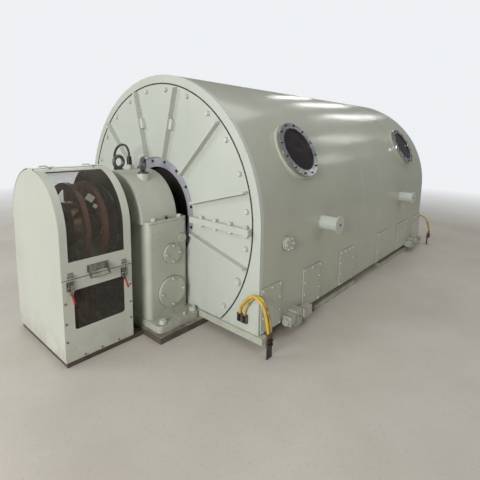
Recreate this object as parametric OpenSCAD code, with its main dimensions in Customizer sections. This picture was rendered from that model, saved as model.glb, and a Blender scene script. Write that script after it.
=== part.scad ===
// Turbogenerator with pedestal bearings and a slip-ring hood.
// +Y runs along the shaft from the slip rings to the coupling, +Z is up and the floor is at z = 0.

/* [Casing] */
// Half width of the casing and radius of its rounded top
casing_r = 1300; // [1280:5:1320]
// Length over the two end plates
casing_l = 4225; // [4150:5:4300]
// Height of the shaft axis above the floor
shaft_h = 957; // [940:1:970]
// Height of the casing's lower edge above the floor
casing_z = 111; // [105:1:120]
// Thickness of the casing sheet
shell_t = 20; // [15:1:25]
// Thickness of each end plate
end_plate_t = 40; // [35:1:45]
// Distance of each end of the stator core from its end of the casing
core_inset = 975; // [972:1:990]
// Thickness of the blanking covers on the sides
side_cover_t = 12; // [10:1:15]

/* [Windows] */
// Elevation of the inspection windows round the casing, in degrees
window_angle = 28; // [26:1:30]
// Distance of the front windows' axis from the casing's front face
front_window_y = 670; // [650:5:690]
// Distance of the rear windows' axis from the casing's rear face
rear_window_y = 758; // [755:1:765]
// Radius of each window's opening
window_r = 206; // [200:1:210]
// Wall of the neck under each window
window_neck_t = 62; // [58:1:66]
// Width of the bolted ring round each window
window_ring_w = 55; // [50:1:58]
// Thickness of that ring
window_ring_t = 20; // [18:1:24]
// Distance of the ring from the casing's outline
window_stand = 35; // [30:1:45]

/* [Trunnions] */
// Reach of a lifting trunnion from the casing's side
trunnion_reach = 184; // [170:1:195]
// Radius of a trunnion
trunnion_r = 66; // [60:1:72]
// Radius of the disc on its end
trunnion_disc_r = 88; // [80:1:95]
// Thickness of that disc
trunnion_disc_t = 8; // [6:1:12]

/* [End covers] */
// Width of the end plate's rim round the split covers
cover_inset = 81; // [70:1:90]
// Lap of the covers on the end plate
cover_lap = 99; // [85:1:110]
// Thickness of the split end covers
cover_t = 20; // [15:1:25]
// Radius of the hole in the end covers
cover_hole_r = 530; // [520:1:540]
// Depth that the ribs stand off the end covers
rib_depth = 55; // [40:1:65]
// Thickness of a rib
rib_t = 18; // [12:1:24]
// Angle between two ribs, in degrees
rib_step = 30; // [24:6:36]
// Radius of the hole in the steel seal ring
seal_hole_r = 432; // [428:1:440]
// Lap of the seal ring behind the covers
seal_lap = 30; // [25:1:40]

/* [Pedestals] */
// Half width of the bearing pedestal
pedestal_half = 475; // [460:1:490]
// Depth of the bearing pedestal along the shaft
pedestal_d = 430; // [420:1:440]
// Gap between the pedestal and the casing's end plate
pedestal_gap = 26; // [24:1:32]
// Radius of the bearing cap's barrel
cap_r = 425; // [415:1:430]
// Ledge of the foot on each side of the pedestal
foot_ledge = 159; // [150:1:170]
// Ledge of the sole plate on each side of the foot
sole_ledge = 54; // [45:1:60]
// Thickness of the pedestal's foot
foot_t = 58; // [50:1:65]
// Thickness of the sole plate
sole_t = 35; // [30:1:40]
// Thickness of the plate between sole and foot
subplate_t = 20; // [15:1:25]
// Distance of the holding-down bolts from the pedestal's side
anchor_out = 108; // [100:1:115]
// Radius of a hole for a holding-down bolt
anchor_r = 17; // [15:1:19]
// Distance of the lifting eyes from the middle
eye_x = 200; // [190:1:210]
// Radius of a lifting eye, to the middle of its bar
eye_r = 54; // [50:1:58]
// Radius of a lifting eye's bar
eye_bar_r = 15; // [13:1:17]

/* [Hood] */
// Half width of the slip-ring hood and radius of its rounded top
hood_r = 455; // [445:1:465]
// Length of the hood along the shaft
hood_l = 560; // [540:5:580]
// Gap between the hood and the front face of the casing
hood_gap = 605; // [600:1:620]
// Height of the middle of the hood's rounded top above the shaft axis
hood_rise = 28; // [20:1:35]
// Height of the seam between the doors and the lower panels
seam_z = 668; // [660:1:680]
// Thickness of the hood's sheet
hood_t = 5; // [4:1:6]
// Half width of the fixed strip along the top
crown_half = 52; // [48:1:54]
// Gap all round a door
door_gap = 5; // [5:0.5:6]
// Distance of each door's hinge axis from the middle
hinge_x = 63; // [63:1:66]
// Outer radius of a hinge knuckle
knuckle_r = 6; // [5:0.5:6]
// Length of a hinge knuckle on a door
knuckle_l = 16; // [12:1:20]
// Radius of the hinge pin
pin_r = 3; // [2.5:0.5:4]
// Clearance of the pin in a knuckle of the door
pin_gap = 0.4; // [0.3:0.1:0.5]
// Spacing of the bars in the mesh panels
mesh_pitch = 50; // [40:1:60]
// Width and thickness of a mesh bar
mesh_bar = 4; // [3:0.5:5]

/* [Rotor] */
// Radius of the shaft in the bearings
journal_r = 160; // [150:1:170]
// Clearance of a bearing land round the shaft
shaft_gap = 0.3; // [0.3:0.1:0.5]
// Radius of the rotor body between the end windings
rotor_r = 430; // [410:1:440]
// Radial gap between rotor body and stator core
air_gap = 45; // [40:1:50]
// Radius of the slip rings
slip_r = 190; // [180:1:200]
// Width of a slip ring
slip_w = 70; // [60:1:80]
// Reach of the shaft's coupling face past the casing
rear_reach = 640; // [600:5:680]
// Radius of the coupling flange
coupling_r = 300; // [280:1:310]
// Thickness of the coupling flange
coupling_t = 80; // [70:1:90]
// Radius of the bolt circle on the coupling flange
coupling_bolt_r = 240; // [230:1:250]
// Radius of each hole in the coupling flange
coupling_hole_r = 26; // [20:1:30]
// Number of holes in the coupling flange
coupling_holes = 12; // [8:2:16]

/* [Hidden] */
$fn = 96;
// Longer than any piece, for cuts that run right through
far = 3 * casing_r;
front_reach = hood_gap + hood_l;
total_l = front_reach + casing_l + rear_reach;
casing_f = front_reach - total_l / 2;
casing_b = casing_f + casing_l;
hood_front = casing_f - front_reach;
hood_back = casing_f - hood_gap;
foot_z = sole_t + subplate_t;
body_z = foot_z + foot_t;

paint = "#c6cbbd";
bare_steel = "#8c8c96";
dark_steel = "#4a4844";
chrome_tone = "#c8c8cc";

// Flat shape in X and Z made solid from y0 to y1
module along_y(y0, y1) {
    translate([0, y1, 0]) rotate([90, 0, 0]) linear_extrude(y1 - y0) children();
}

// Flat shape in Y and Z made solid from x0 to x1
module along_x(x0, x1) {
    translate([x0, 0, 0]) rotate([90, 0, 90]) linear_extrude(x1 - x0) children();
}

// Disc round the shaft axis from y0 to y1
module shaft_disc(r, y0, y1) {
    translate([0, y1, shaft_h]) rotate([90, 0, 0]) cylinder(r = r, h = y1 - y0);
}

// Shape turned round the shaft axis, its points given as [radius, y]
module shaft_turned(points) {
    translate([0, 0, shaft_h]) rotate([-90, 0, 0]) rotate_extrude() polygon(points);
}

// Box given by its low and high corners
module block(low, high) {
    translate(low) cube(high - low);
}

// Rectangle with rounded corners
module rounded_rect(x0, x1, y0, y1, r) {
    translate([x0 + r, y0]) square([x1 - x0 - 2 * r, y1 - y0]);
    translate([x0, y0 + r]) square([x1 - x0, y1 - y0 - 2 * r]);
    for (x = [x0 + r, x1 - r], y = [y0 + r, y1 - r]) translate([x, y]) circle(r = r);
}

// Half plane above a height
module above(z) {
    translate([-far, z]) square([2 * far, far]);
}

module both_sides() {
    children();
    mirror([1, 0, 0]) children();
}

// The casing's other end, about the middle of its length
module rear_end() {
    translate([0, casing_f + casing_b, 0]) mirror([0, 1, 0]) children();
}

module both_ends() {
    children();
    rear_end() children();
}

// Arch outline of the casing, smaller by inset
module casing_outline(inset) {
    r = casing_r - inset;
    intersection() {
        union() {
            translate([0, shaft_h]) circle(r = r);
            translate([-r, casing_z + inset]) square([2 * r, shaft_h - casing_z - inset]);
        }
        above(casing_z + inset);
    }
}

// Casing
// Height of the core's lowest line above the casing's lower edge
core_floor = 46;
core_r = shaft_h - casing_z - core_floor;
core_bore_r = rotor_r + air_gap;
inner_frame_t = 30;
inner_frame_lap = 5;

// Runs the children once for each window: their local Z points out of the casing
module at_windows() {
    both_sides() for (y = [casing_f + front_window_y, casing_b - rear_window_y])
        translate([0, y, shaft_h]) rotate([0, 90 - window_angle, 0]) children();
}

module casing_shell() {
    color(paint) difference() {
        along_y(casing_f + end_plate_t, casing_b - end_plate_t) casing_outline(0);
        difference() {
            along_y(casing_f, casing_b) casing_outline(shell_t);
            for (y = [casing_f + core_inset, casing_b - core_inset - inner_frame_t])
                along_y(y, y + inner_frame_t) difference() {
                    casing_outline(shell_t - inner_frame_lap);
                    translate([0, shaft_h]) circle(r = core_r);
                }
        }
        at_windows() cylinder(r = window_r, h = 2 * casing_r);
    }
}

cover_r = casing_r - cover_inset;
plate_hole_r = cover_r - cover_lap;
plate_sill = 90;
cover_gap = 4;
// Plate with a hole, and a round pocket in its face that takes the covers flush
module end_plate() {
    color(paint) difference() {
        along_y(casing_f, casing_f + end_plate_t) casing_outline(0);
        shaft_disc(cover_r + cover_gap, casing_f - 1, casing_f + cover_t);
        along_y(casing_f - 1, casing_f + end_plate_t + 1) intersection() {
            translate([0, shaft_h]) circle(r = plate_hole_r);
            above(casing_z + plate_sill);
        }
    }
}
module front_end_plate() end_plate();
module rear_end_plate() rear_end() end_plate();

module stator_core() {
    color(dark_steel) difference() {
        shaft_disc(core_r, casing_f + core_inset, casing_b - core_inset);
        shaft_disc(core_bore_r, casing_f, casing_b);
    }
}

// End windings: a ring of coil ends that flares away from the core
winding_l = 380;
winding_root = [core_bore_r + 25, core_r - 80];
winding_tip = [core_r - 100, core_r - 10];
winding_straight = 120;
winding_tip_l = 60;
winding_flare = 10;
module end_windings() {
    y1 = casing_f + core_inset;
    y0 = y1 - winding_l;
    color("#4b2a26") both_ends() shaft_turned([
        [winding_root[0], y1], [winding_root[1], y1],
        [winding_root[1] + winding_flare, y1 - winding_straight],
        [winding_tip[1], y0 + winding_tip_l], [winding_tip[1], y0], [winding_tip[0], y0],
        [winding_root[0] + winding_tip_l, y1 - winding_straight]]);
}

// End covers
// Inner start of a rib or split flange past the hole, and outer end inside the rim
rib_start = 6;
rib_end = 10;
rib_slope = [12, 10];
flange_end = 4;
flange_t = [25, 28];
cover_sill = 4;
module cover_half(low_z, high_z) {
    along_y(casing_f, casing_f + cover_t) intersection() {
        difference() {
            translate([0, shaft_h]) circle(r = cover_r);
            translate([0, shaft_h]) circle(r = cover_hole_r);
        }
        translate([-far, low_z]) square([2 * far, high_z - low_z]);
    }
}

// Stiffening rib that stands on the cover, with sloping ends
module rib(angle) {
    x0 = cover_hole_r + rib_start;
    x1 = cover_r - rib_end;
    translate([0, casing_f, shaft_h]) rotate([0, -angle, 0])
        translate([0, 0, -rib_t / 2]) linear_extrude(rib_t)
            polygon([[x0, 0], [x1, 0], [x1 - rib_slope[1], -rib_depth], [x0 + rib_slope[0], -rib_depth]]);
}

module split_flange(z0, z1) {
    both_sides() block([cover_hole_r + rib_start, casing_f - rib_depth, z0],
        [cover_r - flange_end, casing_f, z1]);
}

module cover_upper() {
    color(paint) union() {
        cover_half(shaft_h, shaft_h + far);
        for (angle = [rib_step / 2:rib_step:180]) rib(angle);
        split_flange(shaft_h, shaft_h + flange_t[0]);
    }
}

module cover_lower() {
    color(paint) union() {
        cover_half(casing_z + cover_sill, shaft_h);
        for (angle = [-rib_step / 2, 180 + rib_step / 2]) rib(angle);
        split_flange(shaft_h - flange_t[1], shaft_h);
    }
}
module front_cover_upper() cover_upper();
module front_cover_lower() cover_lower();
module rear_cover_upper() rear_end() cover_upper();
module rear_cover_lower() rear_end() cover_lower();

// Bolted steel ring behind each cover, with a dish that ends in the air seal round the shaft
seal_plate_t = 25;
seal_wall = 15;
seal_dish = 100;
seal_dish_t = 20;
seal_gap = 8;
shaft_step = 60;
module seal_rings() {
    y = casing_f + cover_t;
    r = cover_hole_r + seal_lap;
    r_in = journal_r + shaft_step + seal_gap;
    color(bare_steel) both_ends() shaft_turned([[seal_hole_r, y], [r, y], [r, y + seal_dish],
        [r_in, y + seal_dish], [r_in, y + seal_dish - seal_dish_t],
        [r - seal_wall, y + seal_dish - seal_dish_t], [r - seal_wall, y + seal_plate_t],
        [seal_hole_r, y + seal_plate_t]]);
}

// Pieces on the casing's sides
side_cover_z = [casing_z + 9, casing_z + 389];
// Where each side cover starts, and its length
side_covers = [[20, 270], [650, 310], [1385, 330],
    [casing_l - 1795, 390], [casing_l - 1065, 420], [casing_l - 355, 340]];
module side_covers_right() {
    color(paint) for (c = side_covers)
        block([casing_r, casing_f + c[0], side_cover_z[0]],
            [casing_r + side_cover_t, casing_f + c[0] + c[1], side_cover_z[1]]);
}
module side_covers_left() mirror([1, 0, 0]) side_covers_right();

trunnion_z = shaft_h - 64;
trunnion_y = [casing_f + 970, casing_b - 1035];
module trunnions() {
    color(paint) both_sides() for (y = trunnion_y)
        translate([casing_r, y, trunnion_z]) rotate([0, 90, 0]) {
            cylinder(r = trunnion_r, h = trunnion_reach - trunnion_disc_t);
            translate([0, 0, trunnion_reach - trunnion_disc_t])
                cylinder(r = trunnion_disc_r, h = trunnion_disc_t);
        }
}

window_out = casing_r + window_stand;
neck_sink = 60;
// Height and depth of the groove under the ring
window_gap_t = 10;
window_gap_in = 22;
// Painted neck on the curved casing at each window, narrower under the ring
module window_necks() {
    neck_r = window_r + window_neck_t;
    color(paint) difference() {
        at_windows() translate([0, 0, casing_r - neck_sink]) difference() {
            union() {
                cylinder(r = neck_r, h = window_stand + neck_sink - window_gap_t);
                cylinder(r = neck_r - window_gap_in, h = window_stand + neck_sink);
            }
            cylinder(r = window_r, h = 3 * (window_stand + neck_sink), center = true);
        }
        shaft_disc(casing_r, casing_f, casing_b);
    }
}

module window_rings() {
    color(bare_steel) at_windows() translate([0, 0, window_out]) difference() {
        cylinder(r = window_r + window_ring_w, h = window_ring_t);
        cylinder(r = window_r, h = 3 * window_ring_t, center = true);
    }
}

glass_t = 14;
glass_sink = 6;
module window_glass() {
    color("#2d282d") at_windows() translate([0, 0, window_out - glass_sink])
        cylinder(r = window_r, h = glass_t);
}

// Blanked pipe stub near each front corner
port_y = 362;
port_z = shaft_h - 148;
port_r = 61;
// Thickness of the flange on the casing, of the groove and of the blank
port_t = [16, 4, 18];
port_groove = 7;
module blank_ports() {
    color(paint) both_sides() translate([casing_r, casing_f + port_y, port_z]) rotate([0, 90, 0])
        difference() {
            cylinder(r = port_r, h = port_t[0] + port_t[1] + port_t[2]);
            translate([0, 0, port_t[0]]) difference() {
                cylinder(r = port_r + 1, h = port_t[1]);
                cylinder(r = port_r - port_groove, h = port_t[1]);
            }
        }
}

// Under the casing
beam_x = [casing_r - 300, casing_r - 125];
bar_y = 60;
bar_step = 18;
bar_out = 55;
module foot_beams() {
    color(paint) both_sides()
        block([beam_x[0], casing_f + bar_y, foot_z], [beam_x[1], casing_b - bar_y, casing_z]);
}

// Cross bar under each end plate
module cross_bars() {
    color(paint) both_ends() block([-casing_r - bar_out, casing_f - bar_step, foot_z],
        [casing_r + bar_out, casing_f + bar_y, casing_z]);
}

// Two strips in line on each side: the places where they start and end
strips = [[casing_f + 900, casing_f + 1828], [casing_b - 1609, casing_b - 553]];
strip_x = [casing_r - 340, casing_r];
module sole_plates() {
    color("#77766f") both_sides() for (s = strips) block([strip_x[0], s[0], 0], [strip_x[1], s[1], foot_z]);
}

// Jacking block on the casing's lower edge: a screw block between two plates, a wedge block behind
// them and the screw's head in front. Corners are given outward, along the shaft and above the edge.
jack_y = [casing_f + 344, casing_b - 640];
jack_front_plate = [[0, 0, -28], [88, 12, 59]];
jack_screw_block = [[0, 12, -25], [84, 86, 61]];
jack_drill_block = [[0, 86, -54], [84, 188, 83]];
jack_middle_plate = [[0, 188, 4], [105, 204, 76]];
jack_wedge_block = [[15, 204, -27], [85, 356, 58]];
// Middle, radius and length of the screw's head
jack_head = [46, 10];
jack_head_r = 31;
jack_head_l = 28;
// Place, radius and depth of the drilled hole
jack_hole = [146, 22];
jack_hole_r = 8;
jack_hole_d = 40;
module jacking_block() {
    difference() {
        union() {
            for (b = [jack_front_plate, jack_screw_block, jack_drill_block, jack_middle_plate,
                jack_wedge_block]) block(b[0], b[1]);
            translate([jack_head[0], 0, jack_head[1]]) rotate([90, 0, 0])
                cylinder(r = jack_head_r, h = jack_head_l);
        }
        translate([jack_drill_block[1][0] - jack_hole_d, jack_hole[0], jack_hole[1]])
            rotate([0, 90, 0]) cylinder(r = jack_hole_r, h = jack_hole_d + 1, $fn = 48);
    }
}

module jacking_blocks() {
    color(paint) both_sides() for (y = jack_y) translate([casing_r, y, casing_z]) jacking_block();
}

// Earth connections
earth_x = casing_r + 136;
earth_y = casing_f - 36;
earth_bar = [8, 64, 190];
module earth_bars() {
    color("#2c352f") both_ends() block([earth_x, earth_y - earth_bar[1] / 2, 0],
        [earth_x + earth_bar[0], earth_y + earth_bar[1] / 2, earth_bar[2]]);
}

// Cable lugs: one pair bolted to the end plate and one pair to the earth bar's outer face
plate_lug = [50, 24, 72];
bar_lug = [14, 32, 120];
plate_lug_x = [casing_r - 182, casing_r - 130];
plate_lug_z = casing_z + 72;
bar_lug_x = earth_x + earth_bar[0];
bar_lug_dy = [-38, -4];
bar_lug_z = 105;
cable_r = 11;
module earth_lugs() {
    color("#78604f") both_ends() for (i = [0, 1]) {
        block([plate_lug_x[i] - plate_lug[0] / 2, casing_f - plate_lug[1], plate_lug_z],
            [plate_lug_x[i] + plate_lug[0] / 2, casing_f, plate_lug_z + plate_lug[2]]);
        block([bar_lug_x, earth_y + bar_lug_dy[i] - bar_lug[1] / 2, bar_lug_z],
            [bar_lug_x + bar_lug[0], earth_y + bar_lug_dy[i] + bar_lug[1] / 2, bar_lug_z + bar_lug[2]]);
    }
}

function unit(v) = v / norm(v);
function tangent(path, i) = unit(path[min(i + 1, len(path) - 1)] - path[max(i - 1, 0)]);

// Round tube along a path that lies in the plane with this normal
module tube(path, normal, r, sides) {
    rings = [for (i = [0:len(path) - 1]) let (side = cross(tangent(path, i), normal))
        for (j = [0:sides - 1]) path[i] + r * (cos(360 * j / sides) * normal
            + sin(360 * j / sides) * side)];
    last = (len(path) - 1) * sides;
    polyhedron(rings, concat(
        [[for (j = [0:sides - 1]) j]],
        [for (i = [0:len(path) - 2], j = [0:sides - 1]) let (a = i * sides, k = (j + 1) % sides)
            [a + j, a + sides + j, a + sides + k, a + k]],
        [[for (j = [sides - 1:-1:0]) last + j]]));
}

// Places along a cable's arch as [share of the way across, height above the lug on the end plate]
arch = [[0, 0], [0, 12], [0.012, 34], [0.04, 60], [0.12, 97], [0.2, 130], [0.31, 167], [0.45, 195],
    [0.58, 201], [0.7, 188], [0.81, 158], [0.89, 112], [0.945, 58], [0.982, 14], [1, -12]];
// Distance of a cable's middle from the middle of its lug on the end plate
cable_out = 4;
tube_sides = 8;
module earth_cables() {
    color("#d7b446") both_ends() for (i = [0, 1]) {
        start = [plate_lug_x[i], casing_f - plate_lug[1] / 2 - cable_out];
        end = [bar_lug_x + bar_lug[0] / 2, earth_y + bar_lug_dy[i]];
        way = unit([end[0] - start[0], end[1] - start[1], 0]);
        path = [for (p = arch) [start[0] + p[0] * (end[0] - start[0]),
            start[1] + p[0] * (end[1] - start[1]), plate_lug_z + plate_lug[2] + p[1]]];
        tube(concat(path, [[end[0], end[1], bar_lug_z + bar_lug[2]]]), [way[1], -way[0], 0], cable_r,
            tube_sides);
    }
}

// Pedestals
ped_back = casing_f - pedestal_gap;
ped_front = ped_back - pedestal_d;
foot_half = pedestal_half + foot_ledge;
sole_half = foot_half + sole_ledge;
anchor_x = pedestal_half + anchor_out;
anchor_y = [ped_front + 56, ped_back - 34];
foot_front = ped_front - 12;
foot_back = ped_back + 6;
sole_front = ped_front - 44;
sole_back = casing_f + 30;
foot_corner_r = 40;
body_corner_r = 40;
joint_flange_t = 20;
bearing_land_w = 60;
bearing_land_inset = 110;
recess_r = journal_r + 120;
recess_d = 18;

module anchor_holes() {
    both_sides() for (y = anchor_y) translate([anchor_x, y, -1])
        cylinder(r = anchor_r, h = 2 * body_z, $fn = 48);
}

module pedestal_soles() {
    color("#5a5852") both_ends() difference() {
        block([-sole_half, sole_front, 0], [sole_half, sole_back, sole_t]);
        anchor_holes();
    }
}

module pedestal_subplates() {
    color(paint) both_ends() difference() {
        block([-sole_half, sole_front, sole_t], [sole_half, sole_back, foot_z]);
        anchor_holes();
    }
}

// What is cut from pedestal and cap round the shaft: a close land between two wider seal bores,
// and a flat recess in the front
module bearing_space() {
    difference() {
        shaft_disc(journal_r + seal_gap, ped_front - 2 * recess_d, ped_back + 2 * recess_d);
        difference() {
            shaft_disc(journal_r + bearing_land_w, ped_front + bearing_land_inset,
                ped_back - bearing_land_inset);
            shaft_disc(journal_r + shaft_gap, ped_front, ped_back);
        }
    }
    shaft_disc(recess_r, ped_front - 2 * recess_d, ped_front + recess_d);
}

module pedestal() {
    color(paint) difference() {
        union() {
            translate([0, 0, foot_z]) linear_extrude(foot_t)
                rounded_rect(-foot_half, foot_half, foot_front, foot_back, foot_corner_r);
            translate([0, 0, body_z]) linear_extrude(shaft_h - body_z)
                rounded_rect(-pedestal_half, pedestal_half, ped_front, ped_back, body_corner_r);
        }
        bearing_space();
        anchor_holes();
    }
}

cap_front = ped_front - 24;
cap_back = ped_back - 84;
cap_fillet = 20;
module bearing_cap() {
    fillet = [for (a = [0:15:90]) [cap_r - cap_fillet + cap_fillet * cos(a),
        cap_front + cap_fillet - cap_fillet * sin(a)]];
    color(paint) difference() {
        union() {
            translate([0, 0, shaft_h]) linear_extrude(joint_flange_t)
                rounded_rect(-pedestal_half, pedestal_half, ped_front, ped_back, body_corner_r);
            intersection() {
                shaft_turned(concat([[0, cap_back], [cap_r, cap_back]], fillet, [[0, cap_front]]));
                translate([-far, -far, shaft_h]) cube(2 * far);
            }
        }
        bearing_space();
    }
}
module front_pedestal() pedestal();
module rear_pedestal() rear_end() pedestal();
module front_bearing_cap() bearing_cap();
module rear_bearing_cap() rear_end() bearing_cap();

// Round covers on the pedestal's sides, each with its distance from the front, its height, its
// radius and its thickness
pedestal_discs = [[243, shaft_h - 290, 88, 26], [238, body_z + 205, 138, 26],
    [363, shaft_h - 174, 44, 12]];
module pedestal_covers() {
    color(paint) both_ends() both_sides() for (d = pedestal_discs)
        translate([pedestal_half, ped_front + d[0], d[1]]) rotate([0, 90, 0])
            cylinder(r = d[2], h = d[3]);
}

// Sensor conduit between two fittings on the bearing cap, each with its distance from the middle
// and from the pedestal's front. The first fitting stands on a painted boss.
cap_top = shaft_h + cap_r;
conduit_ends = [[0, 146], [-290, 166]];
boss_r = 26;
boss_top = cap_top + 44;
nut_r = 23;
nut_h = 45;
stem_r = 20;
stem_h = 28;
conduit_start_z = boss_top + nut_h + stem_h;
low_fitting_r = 16;
low_fitting_z = cap_top - 60;
// Places along its arch as [share of the way, height above the first fitting]
conduit = [[0, 0], [0, 5], [0.022, 39], [0.087, 69], [0.186, 92], [0.276, 102], [0.373, 105],
    [0.535, 101], [0.686, 88], [0.816, 68], [0.916, 41], [0.979, 11], [1, -22], [1, -67], [1, -112]];
conduit_r = 11;
module sensor_conduit() {
    start = [conduit_ends[0][0], ped_front + conduit_ends[0][1]];
    end = [conduit_ends[1][0], ped_front + conduit_ends[1][1]];
    way = end - start;
    path = [for (p = conduit) [start[0] + p[0] * way[0], start[1] + p[0] * way[1],
        conduit_start_z + p[1]]];
    color("#333333") tube(concat(path, [[end[0], end[1], low_fitting_z]]),
        unit([way[1], -way[0], 0]), conduit_r, tube_sides);
}

// Post on the bearing cap at one end of the conduit
module cap_post(i, r, top) {
    difference() {
        translate([conduit_ends[i][0], ped_front + conduit_ends[i][1], shaft_h])
            cylinder(r = r, h = top - shaft_h);
        shaft_disc(cap_r, cap_front - far, cap_back + far);
    }
}

module sensor_fittings() {
    color(dark_steel) {
        translate([conduit_ends[0][0], ped_front + conduit_ends[0][1], boss_top]) {
            cylinder(r = nut_r, h = nut_h);
            cylinder(r = stem_r, h = nut_h + stem_h);
        }
        cap_post(1, low_fitting_r, low_fitting_z);
    }
}

// Pads on the bearing cap, each with an eyebolt, and the sensor's boss
eye_y = ped_front + 156;
eye_turn = [-82, -49];
eye_pad_r = [62, 55];
eye_pad_h = 90;
eye_pad_top = cap_top - 24;
eye_collar = [45, 14];
eye_neck = [20, 12];
eye_sink = 3;
module eye_pads() {
    color(paint) {
        both_ends() both_sides() difference() {
            translate([eye_x, eye_y, eye_pad_top - eye_pad_h])
                cylinder(r1 = eye_pad_r[0], r2 = eye_pad_r[1], h = eye_pad_h);
            shaft_disc(cap_r, cap_front - far, cap_back + far);
        }
        cap_post(0, boss_r, boss_top);
    }
}

module lifting_eyes() {
    color(bare_steel) both_ends() for (i = [0, 1])
        translate([(2 * i - 1) * eye_x, eye_y, eye_pad_top]) rotate([0, 0, eye_turn[i]]) {
            cylinder(r = eye_collar[0], h = eye_collar[1]);
            cylinder(r = eye_neck[0], h = eye_collar[1] + eye_neck[1]);
            translate([0, 0, eye_collar[1] - eye_sink + eye_bar_r + eye_r]) rotate([90, 0, 0])
                rotate_extrude() translate([eye_r, 0]) circle(r = eye_bar_r);
        }
}

// Slip-ring hood
hood_axis_z = shaft_h + hood_rise;
hood_in = hood_r - hood_t;
end_r = hood_in - door_gap;
slip_front = hood_front + 80;
slip_y = [slip_front + 150, slip_front + 300];
brush_y = [15, 55];
base_z = 44;
base_w = 60;
base_inset = [12, 6];
stand_half = 60;
module hood_base() {
    color("#43372f") union() {
        difference() {
            block([-end_r, hood_front + base_inset[0], 0], [end_r, hood_back - base_inset[1], base_z]);
            block([base_w - end_r, hood_front + base_inset[0] + base_w, -1],
                [end_r - base_w, hood_back - base_inset[1] - base_w, base_z + 1]);
        }
        // Cross members under the brush stands, and tails that run on to the pedestal's sole plate
        for (y = slip_y) block([-end_r + 45, y - 5, 0], [end_r - 45, y + brush_y[1] + 20, base_z]);
        both_sides() block([end_r - 80, hood_back - 40, 0], [end_r, sole_front, sole_t]);
    }
}

// Outline of the hood at radius r, from z0 upward
module hood_outline(r, z0) {
    translate([0, hood_axis_z]) intersection() {
        circle(r = r);
        above(0);
    }
    translate([-r, z0]) square([2 * r, hood_axis_z - z0]);
}

// Sheet of the hood between two radii, right of x0 and above z0
module hood_band(r0, r1, x0, z0) {
    intersection() {
        difference() {
            hood_outline(r1, 0);
            hood_outline(r0, -10);
        }
        translate([x0, z0]) square([far, far]);
    }
}

// Hinges at two places along the hood: a door knuckle at each end and a fixed one between them
hinge_y = [hood_front + 90, hood_back - 120];
hinge_z = hood_axis_z + hood_r + 2;
hinge_l = 60;
knuckle_gap = 1.5;
leaf_t = 4;
leaf_reach = [30, 105];
door_x = hinge_x + knuckle_r + door_gap;
module knuckle(r, y0, y1) {
    translate([hinge_x, y1, hinge_z]) rotate([90, 0, 0]) cylinder(r = r, h = y1 - y0);
}

// Leaf of a hinge on the curved sheet between x0 and x1
module hinge_leaf(y0, y1, x0, x1) {
    along_y(y0, y1) intersection() {
        hood_band(hood_r - 1, hood_r + leaf_t, x0, hood_axis_z + hood_r / 2);
        translate([x0, 0]) square([x1 - x0, far]);
    }
}

gutter_t = 7;
gutter_z = hood_axis_z + 420;
back_hole_r = 300;
module hood_ends() {
    color(paint) union() {
        along_y(hood_front, hood_front + hood_t) hood_outline(end_r, base_z);
        along_y(hood_back - hood_t, hood_back) difference() {
            hood_outline(end_r, base_z);
            translate([0, shaft_h]) circle(r = back_hole_r);
        }
        along_y(hood_front, hood_back) both_sides() hood_band(end_r - gutter_t, end_r, 0, gutter_z);
        along_y(hood_front, hood_back) both_sides() intersection() {
            hood_band(end_r, hood_r, 0, hood_axis_z + hood_r / 2);
            square([crown_half, far]);
        }
        both_sides() for (y = hinge_y) {
            hinge_leaf(y + knuckle_l + knuckle_gap, y + hinge_l - knuckle_l - knuckle_gap,
                leaf_reach[0], hinge_x - 1);
            knuckle(knuckle_r, y + knuckle_l + knuckle_gap, y + hinge_l - knuckle_l - knuckle_gap);
            knuckle(pin_r, y, y + hinge_l);
        }
    }
}

side_seam = 3;
lower_window_y = [hood_front + 80, hood_back - 72];
lower_window_z = [seam_z - 388, seam_z - 86];
window_corner_r = 22;
module hood_side_panels() {
    color(paint) both_sides() along_x(end_r, hood_r) difference() {
        translate([hood_front, base_z]) square([hood_l, seam_z - side_seam - base_z]);
        rounded_rect(lower_window_y[0], lower_window_y[1], lower_window_z[0], lower_window_z[1],
            window_corner_r);
    }
}

mesh_lap = 10;
module hood_lower_meshes() {
    y0 = lower_window_y[0] - mesh_lap;
    y1 = lower_window_y[1] + mesh_lap;
    z0 = lower_window_z[0] - mesh_lap;
    z1 = lower_window_z[1] + mesh_lap;
    color(dark_steel) both_sides() {
        for (y = [y0:mesh_pitch:y1]) block([end_r - mesh_bar, y, z0], [end_r, y + mesh_bar, z1]);
        for (z = [z0:mesh_pitch:z1]) block([end_r - mesh_bar, y0, z], [end_r, y1, z + mesh_bar]);
    }
}

// Door window: inside the edges along the shaft, above this height and right of this place
door_window_y = [hood_front + 52, hood_back - 63];
door_window_z = seam_z + 129;
door_window_x = 141;
module door_sheet() {
    difference() {
        along_y(hood_front, hood_back) hood_band(hood_in, hood_r, door_x, seam_z + side_seam);
        along_y(door_window_y[0], door_window_y[1])
            hood_band(hood_in - 10, hood_r + 10, door_window_x, door_window_z);
    }
}

module door_hinges() {
    for (y = hinge_y, k = [0, hinge_l - knuckle_l]) difference() {
        union() {
            hinge_leaf(y + k, y + k + knuckle_l, hinge_x + 1, leaf_reach[1]);
            knuckle(knuckle_r, y + k, y + k + knuckle_l);
        }
        knuckle(pin_r + pin_gap, y - 1, y + hinge_l + 1);
    }
}

module hood_door_right() {
    color(paint) union() {
        door_sheet();
        door_hinges();
    }
}
module hood_door_left() mirror([1, 0, 0]) hood_door_right();

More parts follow.
